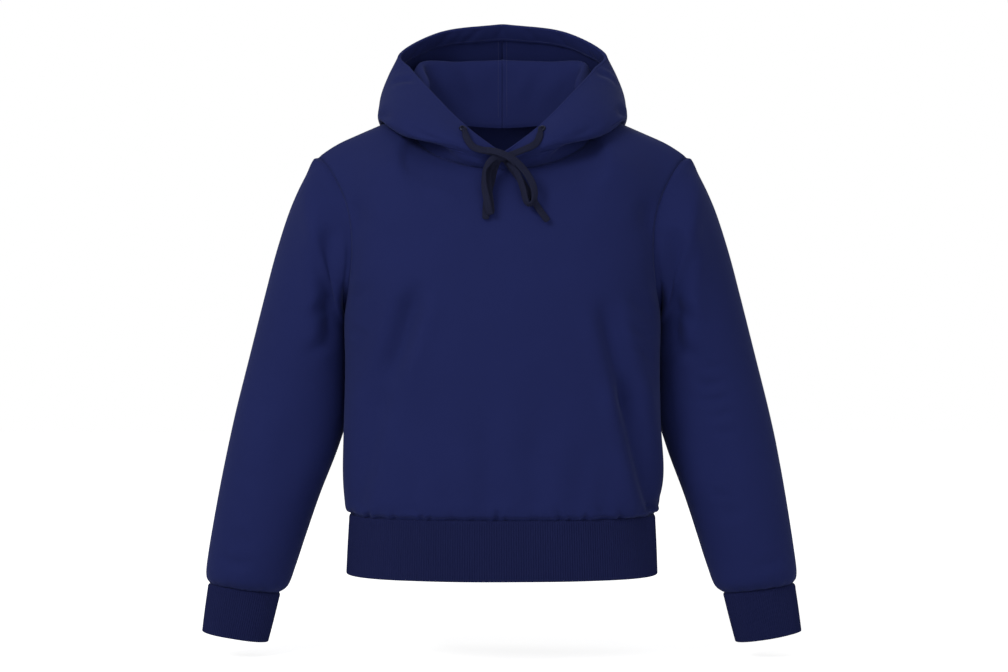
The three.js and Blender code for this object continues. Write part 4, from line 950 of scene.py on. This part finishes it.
def rib_tube(name, first, last, axis, ribs, height, thickness, puckers, material):
    """Doubled rib between two rings: outside, rounded fold at the free edge, inside."""
    per_rib = 8
    count = ribs * per_rib
    first = even_ring(first, count)
    last = even_ring(last, count)
    axis = unit(np.array(axis, float))
    length = np.linalg.norm((last - first).mean(axis=0))
    tangent = np.roll(first, -1, axis=0) - np.roll(first, 1, axis=0)
    out = unit(np.cross(tangent, axis))
    if np.sum(out * (first - first.mean(axis=0))) < 0:
        out = -out
    wave = np.cos(2 * math.pi * np.arange(count) / per_rib)
    ridge = np.sign(wave) * np.abs(wave) ** 0.7
    # share of the way down, distance in, share of the rib's height
    fold = thickness / 2
    rows = [(0, 2.0, 0.3), (0.012, 0.9, 0.6), (0.03, 0.2, 0.9), (0.06, -0.2, 1)]
    rows += [(s, -0.3 * math.sin(math.pi * s), 1) for s in np.linspace(0.12, 0.93, 12)]
    tip = 1 - fold / length
    rows += [(tip, 0, 1)]
    rows += [(tip + fold / length * math.sin(a), fold * (1 - math.cos(a)), 1)
             for a in np.linspace(0, math.pi, 8)[1:]]
    rows += [(s, thickness, 0.8) for s in (0.9, 0.75, 0.5, 0.25, 0.06)]
    rows += [(0.0, thickness + 0.8, 0.2)]
    turn = 2 * math.pi * np.arange(count) / count
    lines = []
    for down, inset, share in rows:
        base = first * (1 - down) + last * down
        face = 1 - 2 * min(max(inset / thickness, 0), 1)
        sway = sum(deep * np.sin(turn * waves + shift) * low**down for waves, shift, deep, low in puckers)
        lines.append(base - out * (inset - share * face * height * ridge[:, None] * 0.5)
                     + out * sway[:, None])
    lines = np.array(lines)
    rows_count = len(lines)
    points = lines.reshape(-1, 3) * MM
    run = np.cumsum([0] + [np.linalg.norm(b[0] - a[0]) for a, b in zip(lines, [*lines[1:], lines[0]])])
    step = np.linalg.norm(first[1] - first[0])
    faces = []
    uvs = []
    for i in range(rows_count):
        below, above = i * count, ((i + 1) % rows_count) * count
        for j in range(count):
            k = (j + 1) % count
            faces.append((below + j, below + k, above + k, above + j))
            left, right = j * step, (j + 1) * step
            uvs += [(left, run[i]), (right, run[i]), (right, run[i + 1]), (left, run[i + 1])]
    return mesh_object(name, points, faces, uvs, material)


def hood_surfaces(side):
    """Outer and inner grids of a hood half and its outward directions, left or mirrored."""
    grids = body_surfaces()
    settings = bpy.context.scene.hoodie
    thickness = settings.fleece / MM
    stations = np.arange(len(HOOD_SECTIONS)) * STATION_COLUMNS
    columns = np.linspace(0, stations[-1], stations[-1] * HOOD_FINER + 1)
    table = np.array(HOOD_SECTIONS, float)
    levels = np.array([spline(stations, table[:, k], columns) for k in range(table.shape[1])])
    place = [0.0]
    for k, steps in enumerate(HOOD_FINE_STEPS):
        place += list(k + np.arange(1, steps + 1) / steps)
    place = np.array(place)
    middle = spline(np.arange(len(levels)), levels, place)
    way = grid_normals(middle)
    way[:, 0] = unit(way[:, 0] * (0, 1, 1))
    way[:, -1] = unit(way[:, -1] * (0, 1, 1))
    if way[-20, len(columns) // 6, 1] > 0:
        way = -way
    run = run_along(middle, 0)
    creases = LEFT_HOOD_CREASES if side < 0 else RIGHT_HOOD_CREASES
    spot = np.stack(np.meshgrid(columns / STATION_COLUMNS * HOOD_STATION_LENGTH,
                                place * HOOD_LEVEL_LENGTH), axis=-1)
    depth = np.zeros(run.shape)
    for path, width, deep, fade in creases:
        scaled = [(a * HOOD_STATION_LENGTH, b * HOOD_LEVEL_LENGTH) for a, b in path]
        depth += crease(spot, scaled, width, 1.6 * deep, fade)
    depth *= smoothstep(0, 10, run)
    across = run_along(middle, 1)
    from_back = across[:, -1:] - across
    depth += seam_draw(from_back, settings.seam_depth / MM * 0.5, 1.8)
    depth += casing_puckers(columns, run[-1:] - run) * 0.5
    moved = middle - way * depth[..., None]
    # the neck edge follows the panels' own drawn-in edge
    top = -1
    half = HALF_STEPS * FINER
    shoulder = SHOULDER_STEPS * FINER
    front = [grids["front" + part][top, shoulder:half + 1][::-1] for part in ("", "_lining")]
    back = [grids["back" + part][top, shoulder + 1:half + 1] for part in ("", "_lining")]
    necks = [np.vstack([f, b]) for f, b in zip(front, back)]
    share = np.linspace(0, len(necks[0]) - 1, len(columns))
    at = np.arange(len(necks[0]))
    neck = [np.stack([np.interp(share, at, n[:, k]) for k in range(3)], axis=-1) for n in necks]
    change = ((neck[0] + neck[1]) / 2 - moved[0])[None] * np.exp(-((run / 7) ** 2))[..., None]
    moved = moved + change
    outer = moved + way * thickness / 2
    inner = moved - way * thickness / 2
    ease = np.exp(-((run / 3) ** 2))[..., None]
    outer += ease * (neck[0] - outer[0])[None]
    inner += ease * (neck[1] - inner[0])[None]
    if side > 0:
        outer, inner, way = outer * (-1, 1, 1), inner * (-1, 1, 1), way * (-1, 1, 1)
    return outer, inner, way


def casing_puckers(columns, from_rim):
    """Depth of the slanting puckers along the casing."""
    station = columns[None] / STATION_COLUMNS
    total = np.zeros(from_rim.shape)
    for at, slant, width, deep in CASING_PUCKERS:
        centre = at + slant * (from_rim / CASING_WIDTH - 0.5)
        off = (station - centre) * HOOD_STATION_LENGTH
        strength = smoothstep(2, 10, from_rim) * (1 - smoothstep(CASING_WIDTH - 2, CASING_WIDTH + 8, from_rim))
        total += deep * np.exp(-((off / width) ** 2)) * strength
    return total


def at_distance(line_grid, run, distance):
    """Points of each column at a distance from the grid's last row (columns run along axis 1)."""
    total = run[-1]
    want = np.clip(total - distance, 0, None)
    out = np.empty((line_grid.shape[1], 3))
    for j in range(line_grid.shape[1]):
        for k in range(3):
            out[j, k] = np.interp(want[j], run[:, j], line_grid[:, j, k])
    return out


def trimmed(grid, run, amount):
    """The same grid with its last edge moved back by an amount."""
    out = np.empty_like(grid)
    for j in range(grid.shape[1]):
        total = run[-1, j]
        want = run[:, j] * (total - amount) / total
        for k in range(3):
            out[:, j, k] = np.interp(want, run[:, j], grid[:, j, k])
    return out


def sweep(name, route, width, thickness, material, nodes, tip=False, narrow=False):
    """Flat cord along a route of points and facing directions, in millimetres."""
    route = np.array(route, float)
    knots = np.concatenate([[0], np.cumsum(np.linalg.norm(np.diff(route[:, :3], axis=0), axis=1) ** 0.7)])
    count = int(np.linalg.norm(np.diff(route[:, :3], axis=0), axis=1).sum() / 0.9)
    sampled = spline(knots, route, np.linspace(0, knots[-1], count))
    centre, face = sampled[:, :3], sampled[:, 3:]
    tangent = unit(np.gradient(centre, axis=0))
    face = unit(face - (face * tangent).sum(axis=1, keepdims=True) * tangent)
    side = np.cross(face, tangent)
    angle = 2 * math.pi * np.arange(28) / 28
    a = width / 2 * np.sign(np.cos(angle)) * np.abs(np.cos(angle)) ** 0.62
    b = thickness / 2 * np.sign(np.sin(angle)) * np.abs(np.sin(angle)) ** 0.85
    # the tube of braid is a little hollow in the middle of its flat faces
    b = b * (1 - 0.12 * np.exp(-((a / (width * 0.18)) ** 2)))
    size = np.ones(count)
    if tip:
        size[-3:] = (0.94, 0.8, 0.55)
    if narrow:
        # the cord is squeezed where it comes out of its eyelet
        run = np.concatenate([[0], np.cumsum(np.linalg.norm(np.diff(centre, axis=0), axis=1))])
        size = 0.5 + 0.5 * smoothstep(3, 17, run)
    lines = centre[:, None] + size[:, None, None] * (
        a[None, :, None] * side[:, None] + b[None, :, None] * face[:, None])
    piece = tube_mesh(name, lines, material)
    enlist(piece, nodes)
    return piece, centre * MM


def stitch_tree():
    """Geometry Nodes tree that lays a short thread along each line at even steps."""
    tree = bpy.data.node_groups.get("Stitches")
    if tree:
        return tree
    tree = bpy.data.node_groups.new("Stitches", "GeometryNodeTree")
    face = tree.interface
    face.new_socket(name="Geometry", in_out="INPUT", socket_type="NodeSocketGeometry")
    pitch = face.new_socket(name="Stitch", in_out="INPUT", socket_type="NodeSocketFloat")
    thread = face.new_socket(name="Thread", in_out="INPUT", socket_type="NodeSocketFloat")
    cover = face.new_socket(name="Cover", in_out="INPUT", socket_type="NodeSocketFloat")
    stuff = face.new_socket(name="Material", in_out="INPUT", socket_type="NodeSocketMaterial")
    face.new_socket(name="Geometry", in_out="OUTPUT", socket_type="NodeSocketGeometry")
    pitch.default_value = 0.0032
    thread.default_value = 0.00024
    cover.default_value = 0.8
    stuff.description = "Material of the thread"
    nodes, links = tree.nodes, tree.links
    entry = nodes.new("NodeGroupInput")
    leave = nodes.new("NodeGroupOutput")
    curve = nodes.new("GeometryNodeMeshToCurve")
    resample = nodes.new("GeometryNodeResampleCurve")
    resample.mode = "LENGTH"
    tangent = nodes.new("GeometryNodeInputTangent")
    align = nodes.new("FunctionNodeAlignEulerToVector")
    align.axis = "Z"
    bead = nodes.new("GeometryNodeMeshUVSphere")
    bead.inputs["Segments"].default_value = 6
    bead.inputs["Rings"].default_value = 4
    bead.inputs["Radius"].default_value = 1.0
    half = nodes.new("ShaderNodeMath")
    half.operation = "MULTIPLY"
    halve = nodes.new("ShaderNodeMath")
    halve.operation = "MULTIPLY"
    halve.inputs[1].default_value = 0.5
    size = nodes.new("ShaderNodeCombineXYZ")
    place = nodes.new("GeometryNodeInstanceOnPoints")
    real = nodes.new("GeometryNodeRealizeInstances")
    finish = nodes.new("GeometryNodeSetMaterial")
    links.new(entry.outputs["Geometry"], curve.inputs["Mesh"])
    links.new(curve.outputs["Curve"], resample.inputs["Curve"])
    links.new(entry.outputs["Stitch"], resample.inputs["Length"])
    links.new(tangent.outputs[0], align.inputs["Vector"])
    links.new(entry.outputs["Stitch"], half.inputs[0])
    links.new(entry.outputs["Cover"], half.inputs[1])
    links.new(half.outputs[0], halve.inputs[0])
    links.new(entry.outputs["Thread"], size.inputs["X"])
    links.new(entry.outputs["Thread"], size.inputs["Y"])
    links.new(halve.outputs[0], size.inputs["Z"])
    links.new(resample.outputs["Curve"], place.inputs["Points"])
    links.new(bead.outputs["Mesh"], place.inputs["Instance"])
    links.new(align.outputs[0], place.inputs["Rotation"])
    links.new(size.outputs[0], place.inputs["Scale"])
    links.new(place.outputs["Instances"], real.inputs["Geometry"])
    links.new(real.outputs["Geometry"], finish.inputs["Geometry"])
    links.new(entry.outputs["Material"], finish.inputs["Material"])
    links.new(finish.outputs["Geometry"], leave.inputs["Geometry"])
    return tree


def stitches(name, lines, cover=0.8):
    """Stitches along lines of points in millimetres, as a plain mesh."""
    settings = bpy.context.scene.hoodie
    points = []
    edges = []
    for line in lines:
        start = len(points)
        points += [tuple(p * MM) for p in np.asarray(line)]
        edges += [(start + i, start + i + 1) for i in range(len(line) - 1)]
    guide = bpy.data.meshes.new(name + " guide")
    guide.from_pydata(points, edges, [])
    holder = bpy.data.objects.new(name + " guide", guide)
    bpy.context.collection.objects.link(holder)
    modifier = holder.modifiers.new("Stitches", "NODES")
    tree = stitch_tree()
    modifier.node_group = tree
    wanted = {"Stitch": settings.stitch, "Thread": settings.thread, "Cover": cover,
              "Material": finish_of("Thread")}
    for item in tree.interface.items_tree:
        if item.in_out == "INPUT" and item.name in wanted:
            modifier[item.identifier] = wanted[item.name]
    holder.update_tag()
    bpy.context.view_layer.update()
    depsgraph = bpy.context.evaluated_depsgraph_get()
    mesh = bpy.data.meshes.new_from_object(holder.evaluated_get(depsgraph))
    mesh.name = name
    bpy.data.objects.remove(holder)
    bpy.data.meshes.remove(guide)
    mesh.polygons.foreach_set("use_smooth", [True] * len(mesh.polygons))
    piece = bpy.data.objects.new(name, mesh)
    bpy.context.collection.objects.link(piece)
    enlist(piece, ())
    return piece


# Operators


class HOODIE_OT_body(bpy.types.Operator):
    """Front and back panels with their creases and gathers"""

    bl_idname = "hoodie.body"
    bl_label = "Body"

    def execute(self, context):
        grids = body_surfaces()
        for name, flat in (("front", (0.53, 0.55)), ("back", (0.53, 0.56))):
            piece = shell(f"{name}_cloth", grids[name], grids[name + "_lining"], finish_of("Fleece"))
            enlist(piece, (name,))
        return {"FINISHED"}


class HOODIE_OT_sleeves(bpy.types.Operator):
    """Both sleeves, gathered into the cuffs"""

    bl_idname = "hoodie.sleeves"
    bl_label = "Sleeves"

    def execute(self, context):
        for name, side in (("sleeve_left", -1), ("sleeve_right", 1)):
            outer, lining = sleeve_surfaces(side)
            piece = shell(f"{name}_cloth", outer, lining, finish_of("Fleece"), closed=True)
            enlist(piece, (name,))
        return {"FINISHED"}


class HOODIE_OT_ribs(bpy.types.Operator):
    """Ribbed waistband and cuffs"""

    bl_idname = "hoodie.ribs"
    bl_label = "Ribs"

    def execute(self, context):
        settings = context.scene.hoodie
        height = settings.rib_height / MM

        def ring(z, half_width, front, back):
            one = quarter_section(half_width, front, FRONT_SQUARENESS, 200)
            two = quarter_section(half_width, back, BACK_SQUARENESS, 200)
            loop = np.vstack([one[:-1] * (1, -1), (one * (-1, -1))[::-1][:-1],
                              two[:-1] * (-1, 1), (two * (1, 1))[::-1][:-1]])
            return np.column_stack([loop, np.full(len(loop), z)])

        sway = [(5, 0.6, 0.35, 2.4), (9, 2.1, 0.25, 1.6), (14, 4.0, 0.2, 0.8), (31, 1.0, 0.22, 0.15)]
        band = rib_tube("waistband_rib", ring(*WAIST_TOP), ring(*WAIST_BOTTOM), (0, 0, -1),
                        settings.waist_ribs, height, 2.6, sway, finish_of("Rib"))
        enlist(band, ("waistband",))
        angle = 2 * math.pi * np.arange(720) / 720
        for name, side in (("cuff_left", -1), ("cuff_right", 1)):
            first, last = ring_points(CUFF_TOP, angle), ring_points(CUFF_BOTTOM, angle)
            axis = cuff_axis()
            if side > 0:
                first = first * (-1, 1, 1) - (LEAN_REACH, 0, 0)
                last = last * (-1, 1, 1) - (LEAN_REACH, 0, 0)
                axis = axis * (-1, 1, 1)
            sway = [(3, 0.8 + side, 0.3, 1.8), (5, 2.2 - side, 0.22, 1.4), (11, 1.0, 0.15, 0.3)]
            cuff = rib_tube(f"{name}_rib", first, last, axis, settings.cuff_ribs, height * 0.9,
                            2.6, sway, finish_of("Rib"))
            enlist(cuff, (name,))
        return {"FINISHED"}


class HOODIE_OT_hood(bpy.types.Operator):
    """Two hood panels and the casing turned in along the opening"""

    bl_idname = "hoodie.hood"
    bl_label = "Hood"

    def execute(self, context):
        halves = {}
        for name, side in (("hood_left", -1), ("hood_right", 1)):
            outer, inner, way = hood_surfaces(side)
            run = run_along(outer, 0)
            halves[side] = (outer, inner, way, run)
            piece = shell(f"{name}_cloth", trimmed(outer, run, 1.6), trimmed(inner, run, 1.6),
                          finish_of("Fleece"), bulge=(0.5, 0.2))
            enlist(piece, (name,))
        built["hood"] = halves
        hem = 1.8
        sides = []
        for side in (-1, 1):
            outer, inner, way, run = halves[side]
            run_in = run_along(inner, 0)
            table = np.array(HOOD_SECTIONS, float)
            stations = np.arange(len(table)) * STATION_COLUMNS
            columns = np.linspace(0, stations[-1], outer.shape[1])
            gap = spline(stations, np.linalg.norm(table[:, -1] - table[:, -2], axis=1)[:, None], columns)[:, 0]
            width = np.minimum(CASING_WIDTH, 0.8 * gap)
            roll = np.minimum(2.2, width * 0.3)
            rows = []
            for share in np.linspace(1, 0, 16):
                distance = roll + (width - roll) * share
                base = at_distance(inner, run_in, distance)
                edge = at_distance(way, run, distance)
                lift = casing_lift(columns, (1 - share) * CASING_WIDTH, share)
                rows.append(base - unit(edge) * (0.15 + hem / 2 + lift[:, None]))
            near = at_distance(outer, run, roll)
            face = unit(at_distance(way, run, roll))
            tip = unit(at_distance(outer, run, roll * 0.5) - near)
            far = near - face * (hem / 2 - 0.15)
            centre = (rows[-1] + far) / 2
            half = (rows[-1] - far) / 2
            radius = np.linalg.norm(half, axis=1, keepdims=True)
            for a in np.linspace(0, math.pi, 10)[1:]:
                rows.append(centre + math.cos(a) * half + math.sin(a) * radius * tip)
            rows.append(at_distance(outer, run, roll + 1.2) - face * (hem / 2 - 0.05))
            sides.append(np.array(rows))
        left, right = sides
        middle = (left[:, -1] + right[:, -1]) / 2
        left[:, -1] = middle
        grid = np.concatenate([left, right[:, :-1][:, ::-1]], axis=1)
        normal = grid_normals(grid)
        lean = normal[4, 20] @ halves[-1][2][-20, 20]
        if lean > 0:
            normal = -normal
        piece = shell("hood_hem_cloth", grid + normal * hem / 2, grid - normal * hem / 2,
                      finish_of("Fleece"), bulge=(1, 0.3))
        built["hem"] = grid + normal * hem / 2
        enlist(piece, ("hood_hem",))
        return {"FINISHED"}


def casing_lift(columns, from_free_edge, share):
    """How far the casing stands off between its stitch line and the rim."""
    station = columns / STATION_COLUMNS
    swell = 0.9 * math.sin(math.pi * min(max(share, 0), 1))
    total = np.full(columns.shape, swell)
    for at, slant, width, deep in CASING_PUCKERS:
        centre = at + slant * (0.5 - share) * 1.4
        off = (station - centre) * HOOD_STATION_LENGTH
        total -= deep * 1.5 * np.exp(-((off / width) ** 2)) * math.sin(math.pi * min(max(share, 0.02), 0.98)) ** 0.6
    return total


class HOODIE_OT_eyelets(bpy.types.Operator):
    """Rolled metal eyelets near the lower ends of the casing"""

    bl_idname = "hoodie.eyelets"
    bl_label = "Eyelets"

    def execute(self, context):
        for name, side in (("eyelet_left", 1), ("eyelet_right", -1)):
            facing = unit(np.array(EYELET_FACING) * (side, 1, 1))
            place = np.array(EYELET_PLACE) * (side, 1, 1)
            first = unit(np.cross(facing, (0, 0, 1)))
            second = np.cross(facing, first)
            angle = 2 * math.pi * np.arange(64) / 64
            ring = np.cos(angle)[:, None] * first + np.sin(angle)[:, None] * second
            lines = [place + radius * ring + (high - 0.3) * facing for radius, high in EYELET_PROFILE]
            lines.append(lines[0].copy())
            piece = tube_mesh(name + "_metal", lines, finish_of("Eyelet metal"), cap=False)
            enlist(piece, (name,))
        return {"FINISHED"}


class HOODIE_OT_drawcord(bpy.types.Operator):
    """Flat drawcord tied in a bow"""

    bl_idname = "hoodie.drawcord"
    bl_label = "Drawcord"

    def execute(self, context):
        settings = context.scene.hoodie
        width = settings.cord_width / MM
        thickness = settings.cord_thickness / MM
        stuff = finish_of("Drawcord")
        for name, route, tip in (
            ("cord_left", CORD_LEFT, False), ("cord_right", CORD_RIGHT, False),
            ("loop_left", LOOP_LEFT, False), ("loop_right", LOOP_RIGHT, False),
            ("tail_left", TAIL_LEFT, True), ("tail_right", TAIL_RIGHT, True),
        ):
            sweep(name + "_braid", route, width, thickness, stuff, (name,), tip, "cord" in name)
        wrap, _ = sweep("wrap_braid", WRAP, width, thickness, stuff, ("knot",))
        x, y, z, wide, deep, tall = KNOT
        lines = []
        for a in np.linspace(-math.pi / 2, math.pi / 2, 16)[1:-1]:
            turn = 2 * math.pi * np.arange(32) / 32
            ripple = 1 + 0.06 * np.sin(3 * turn + 4 * a)
            lines.append(np.stack([
                x + wide * math.cos(a) * np.cos(turn) * ripple, y + deep * math.cos(a) * np.sin(turn) * ripple,
                np.full(32, z + tall * math.sin(a))], axis=-1))
        core = tube_mesh("knot_braid", lines, stuff)
        enlist(core, ("knot",))
        return {"FINISHED"}


class HOODIE_OT_stitching(bpy.types.Operator):
    """Twin stitching down the back of the hood and along the casing"""

    bl_idname = "hoodie.stitching"
    bl_label = "Stitching"

    def execute(self, context):
        lines = []
        for side, (outer, inner, way, run) in built["hood"].items():
            for grid, lift, stop in ((inner, -0.15, 5), (outer, 0.15, 1)):
                across = run_along(grid[:, ::-1], 1)
                line = []
                for i in range(3, len(grid) - stop):
                    at = [np.interp(TWIN_STITCH, across[i], grid[i, ::-1, k]) for k in range(3)]
                    line.append(np.array(at) + way[i, -2] * lift)
                lines.append(line)
        seam = stitches("centre_seam_stitches", lines)
        hem = built["hem"]
        edge = stitches("casing_stitches", [hem[2, 2:-2]])
        return {"FINISHED"}


class HOODIE_OT_stage(bpy.types.Operator):
    """Pale floor and backdrop, soft studio lights and the camera"""

    bl_idname = "hoodie.stage"
    bl_label = "Stage"

    def execute(self, context):
        scene = context.scene
        data = bpy.data.cameras.new("Camera")
        data.sensor_width = 36
        data.lens = CAMERA_LENS
        camera = bpy.data.objects.new("Camera", data)
        camera.location = CAMERA_PLACE
        camera.rotation_euler = (math.radians(90), 0, 0)
        scene.collection.objects.link(camera)
        scene.camera = camera
        reach = 6.0
        points = [(x * reach, y * reach, FLOOR_LEVEL) for x, y in ((-1, -1), (1, -1), (1, 1), (-1, 1))]
        mesh = bpy.data.meshes.new("Floor")
        mesh.from_pydata(points, [], [(0, 1, 2, 3)])
        mesh.materials.append(floor_material("Floor"))
        floor = bpy.data.objects.new("Floor", mesh)
        scene.collection.objects.link(floor)
        for name, place, turn, size, power in LIGHTS:
            light = bpy.data.lights.new(name, "AREA")
            light.shape = "RECTANGLE"
            light.size, light.size_y = size
            light.energy = power
            holder = bpy.data.objects.new(name, light)
            holder.location = place
            holder.rotation_euler = [math.radians(a) for a in turn]
            scene.collection.objects.link(holder)
        world = bpy.data.worlds.new("Studio")
        world.use_nodes = True
        sky = world.node_tree.nodes["Background"]
        sky.inputs[0].default_value = (1, 1, 1, 1)
        seen = world.node_tree.nodes.new("ShaderNodeLightPath")
        level = world.node_tree.nodes.new("ShaderNodeMapRange")
        level.inputs["To Min"].default_value = WORLD_STRENGTH
        level.inputs["To Max"].default_value = 1.0
        world.node_tree.links.new(seen.outputs["Is Camera Ray"], level.inputs["Value"])
        world.node_tree.links.new(level.outputs[0], sky.inputs[1])
        scene.world = world
        scene.view_settings.view_transform = "Standard"
        return {"FINISHED"}


TWIN_STITCH = 5.6
FLOOR_LEVEL = -0.632
FLOOR_GLOW = 0.76
WORLD_STRENGTH = 0.3
# Studio lights: name, place, turn in degrees, size, power
LIGHTS = [
    ("Key", (-1.6, -1.9, 1.4), (59, 0, -38), (1.0, 1.0), 27),
    ("Fill", (0.8, -2.8, -0.1), (90, 0, 16), (1.2, 1.0), 10.5),
    ("Top", (0, -0.9, 2.2), (18, 0, 0), (1.6, 1.0), 3),
    ("Back", (0.3, 2.4, 1.1), (-62, 0, -7), (1.4, 1.0), 7),
]


class HOODIE_PT_panel(bpy.types.Panel):
    """Sizes and colours of the hoodie"""

    bl_idname = "HOODIE_PT_panel"
    bl_label = "Hoodie"
    bl_space_type = "VIEW_3D"
    bl_region_type = "UI"
    bl_category = "Hoodie"

    def draw(self, context):
        settings = context.scene.hoodie
        for name in HoodieSettings.__annotations__:
            self.layout.prop(settings, name)
        for operator in STEPS:
            self.layout.operator(operator.bl_idname)


STEPS = (
    HOODIE_OT_stage, HOODIE_OT_body, HOODIE_OT_sleeves, HOODIE_OT_ribs, HOODIE_OT_hood,
    HOODIE_OT_eyelets, HOODIE_OT_drawcord, HOODIE_OT_stitching,
)


def register():
    bpy.utils.register_class(HoodieSettings)
    bpy.types.Scene.hoodie = PointerProperty(type=HoodieSettings)
    for step in STEPS:
        bpy.utils.register_class(step)
    bpy.utils.register_class(HOODIE_PT_panel)


def unregister():
    bpy.utils.unregister_class(HOODIE_PT_panel)
    for step in reversed(STEPS):
        bpy.utils.unregister_class(step)
    del bpy.types.Scene.hoodie
    bpy.utils.unregister_class(HoodieSettings)


def main():
    register()
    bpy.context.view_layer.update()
    bpy.ops.hoodie.stage()
    bpy.ops.hoodie.body()
    bpy.ops.hoodie.sleeves()
    bpy.ops.hoodie.ribs()
    bpy.ops.hoodie.hood()
    bpy.ops.hoodie.eyelets()
    bpy.ops.hoodie.drawcord()
    bpy.ops.hoodie.stitching()


if __name__ == "__main__":
    main()
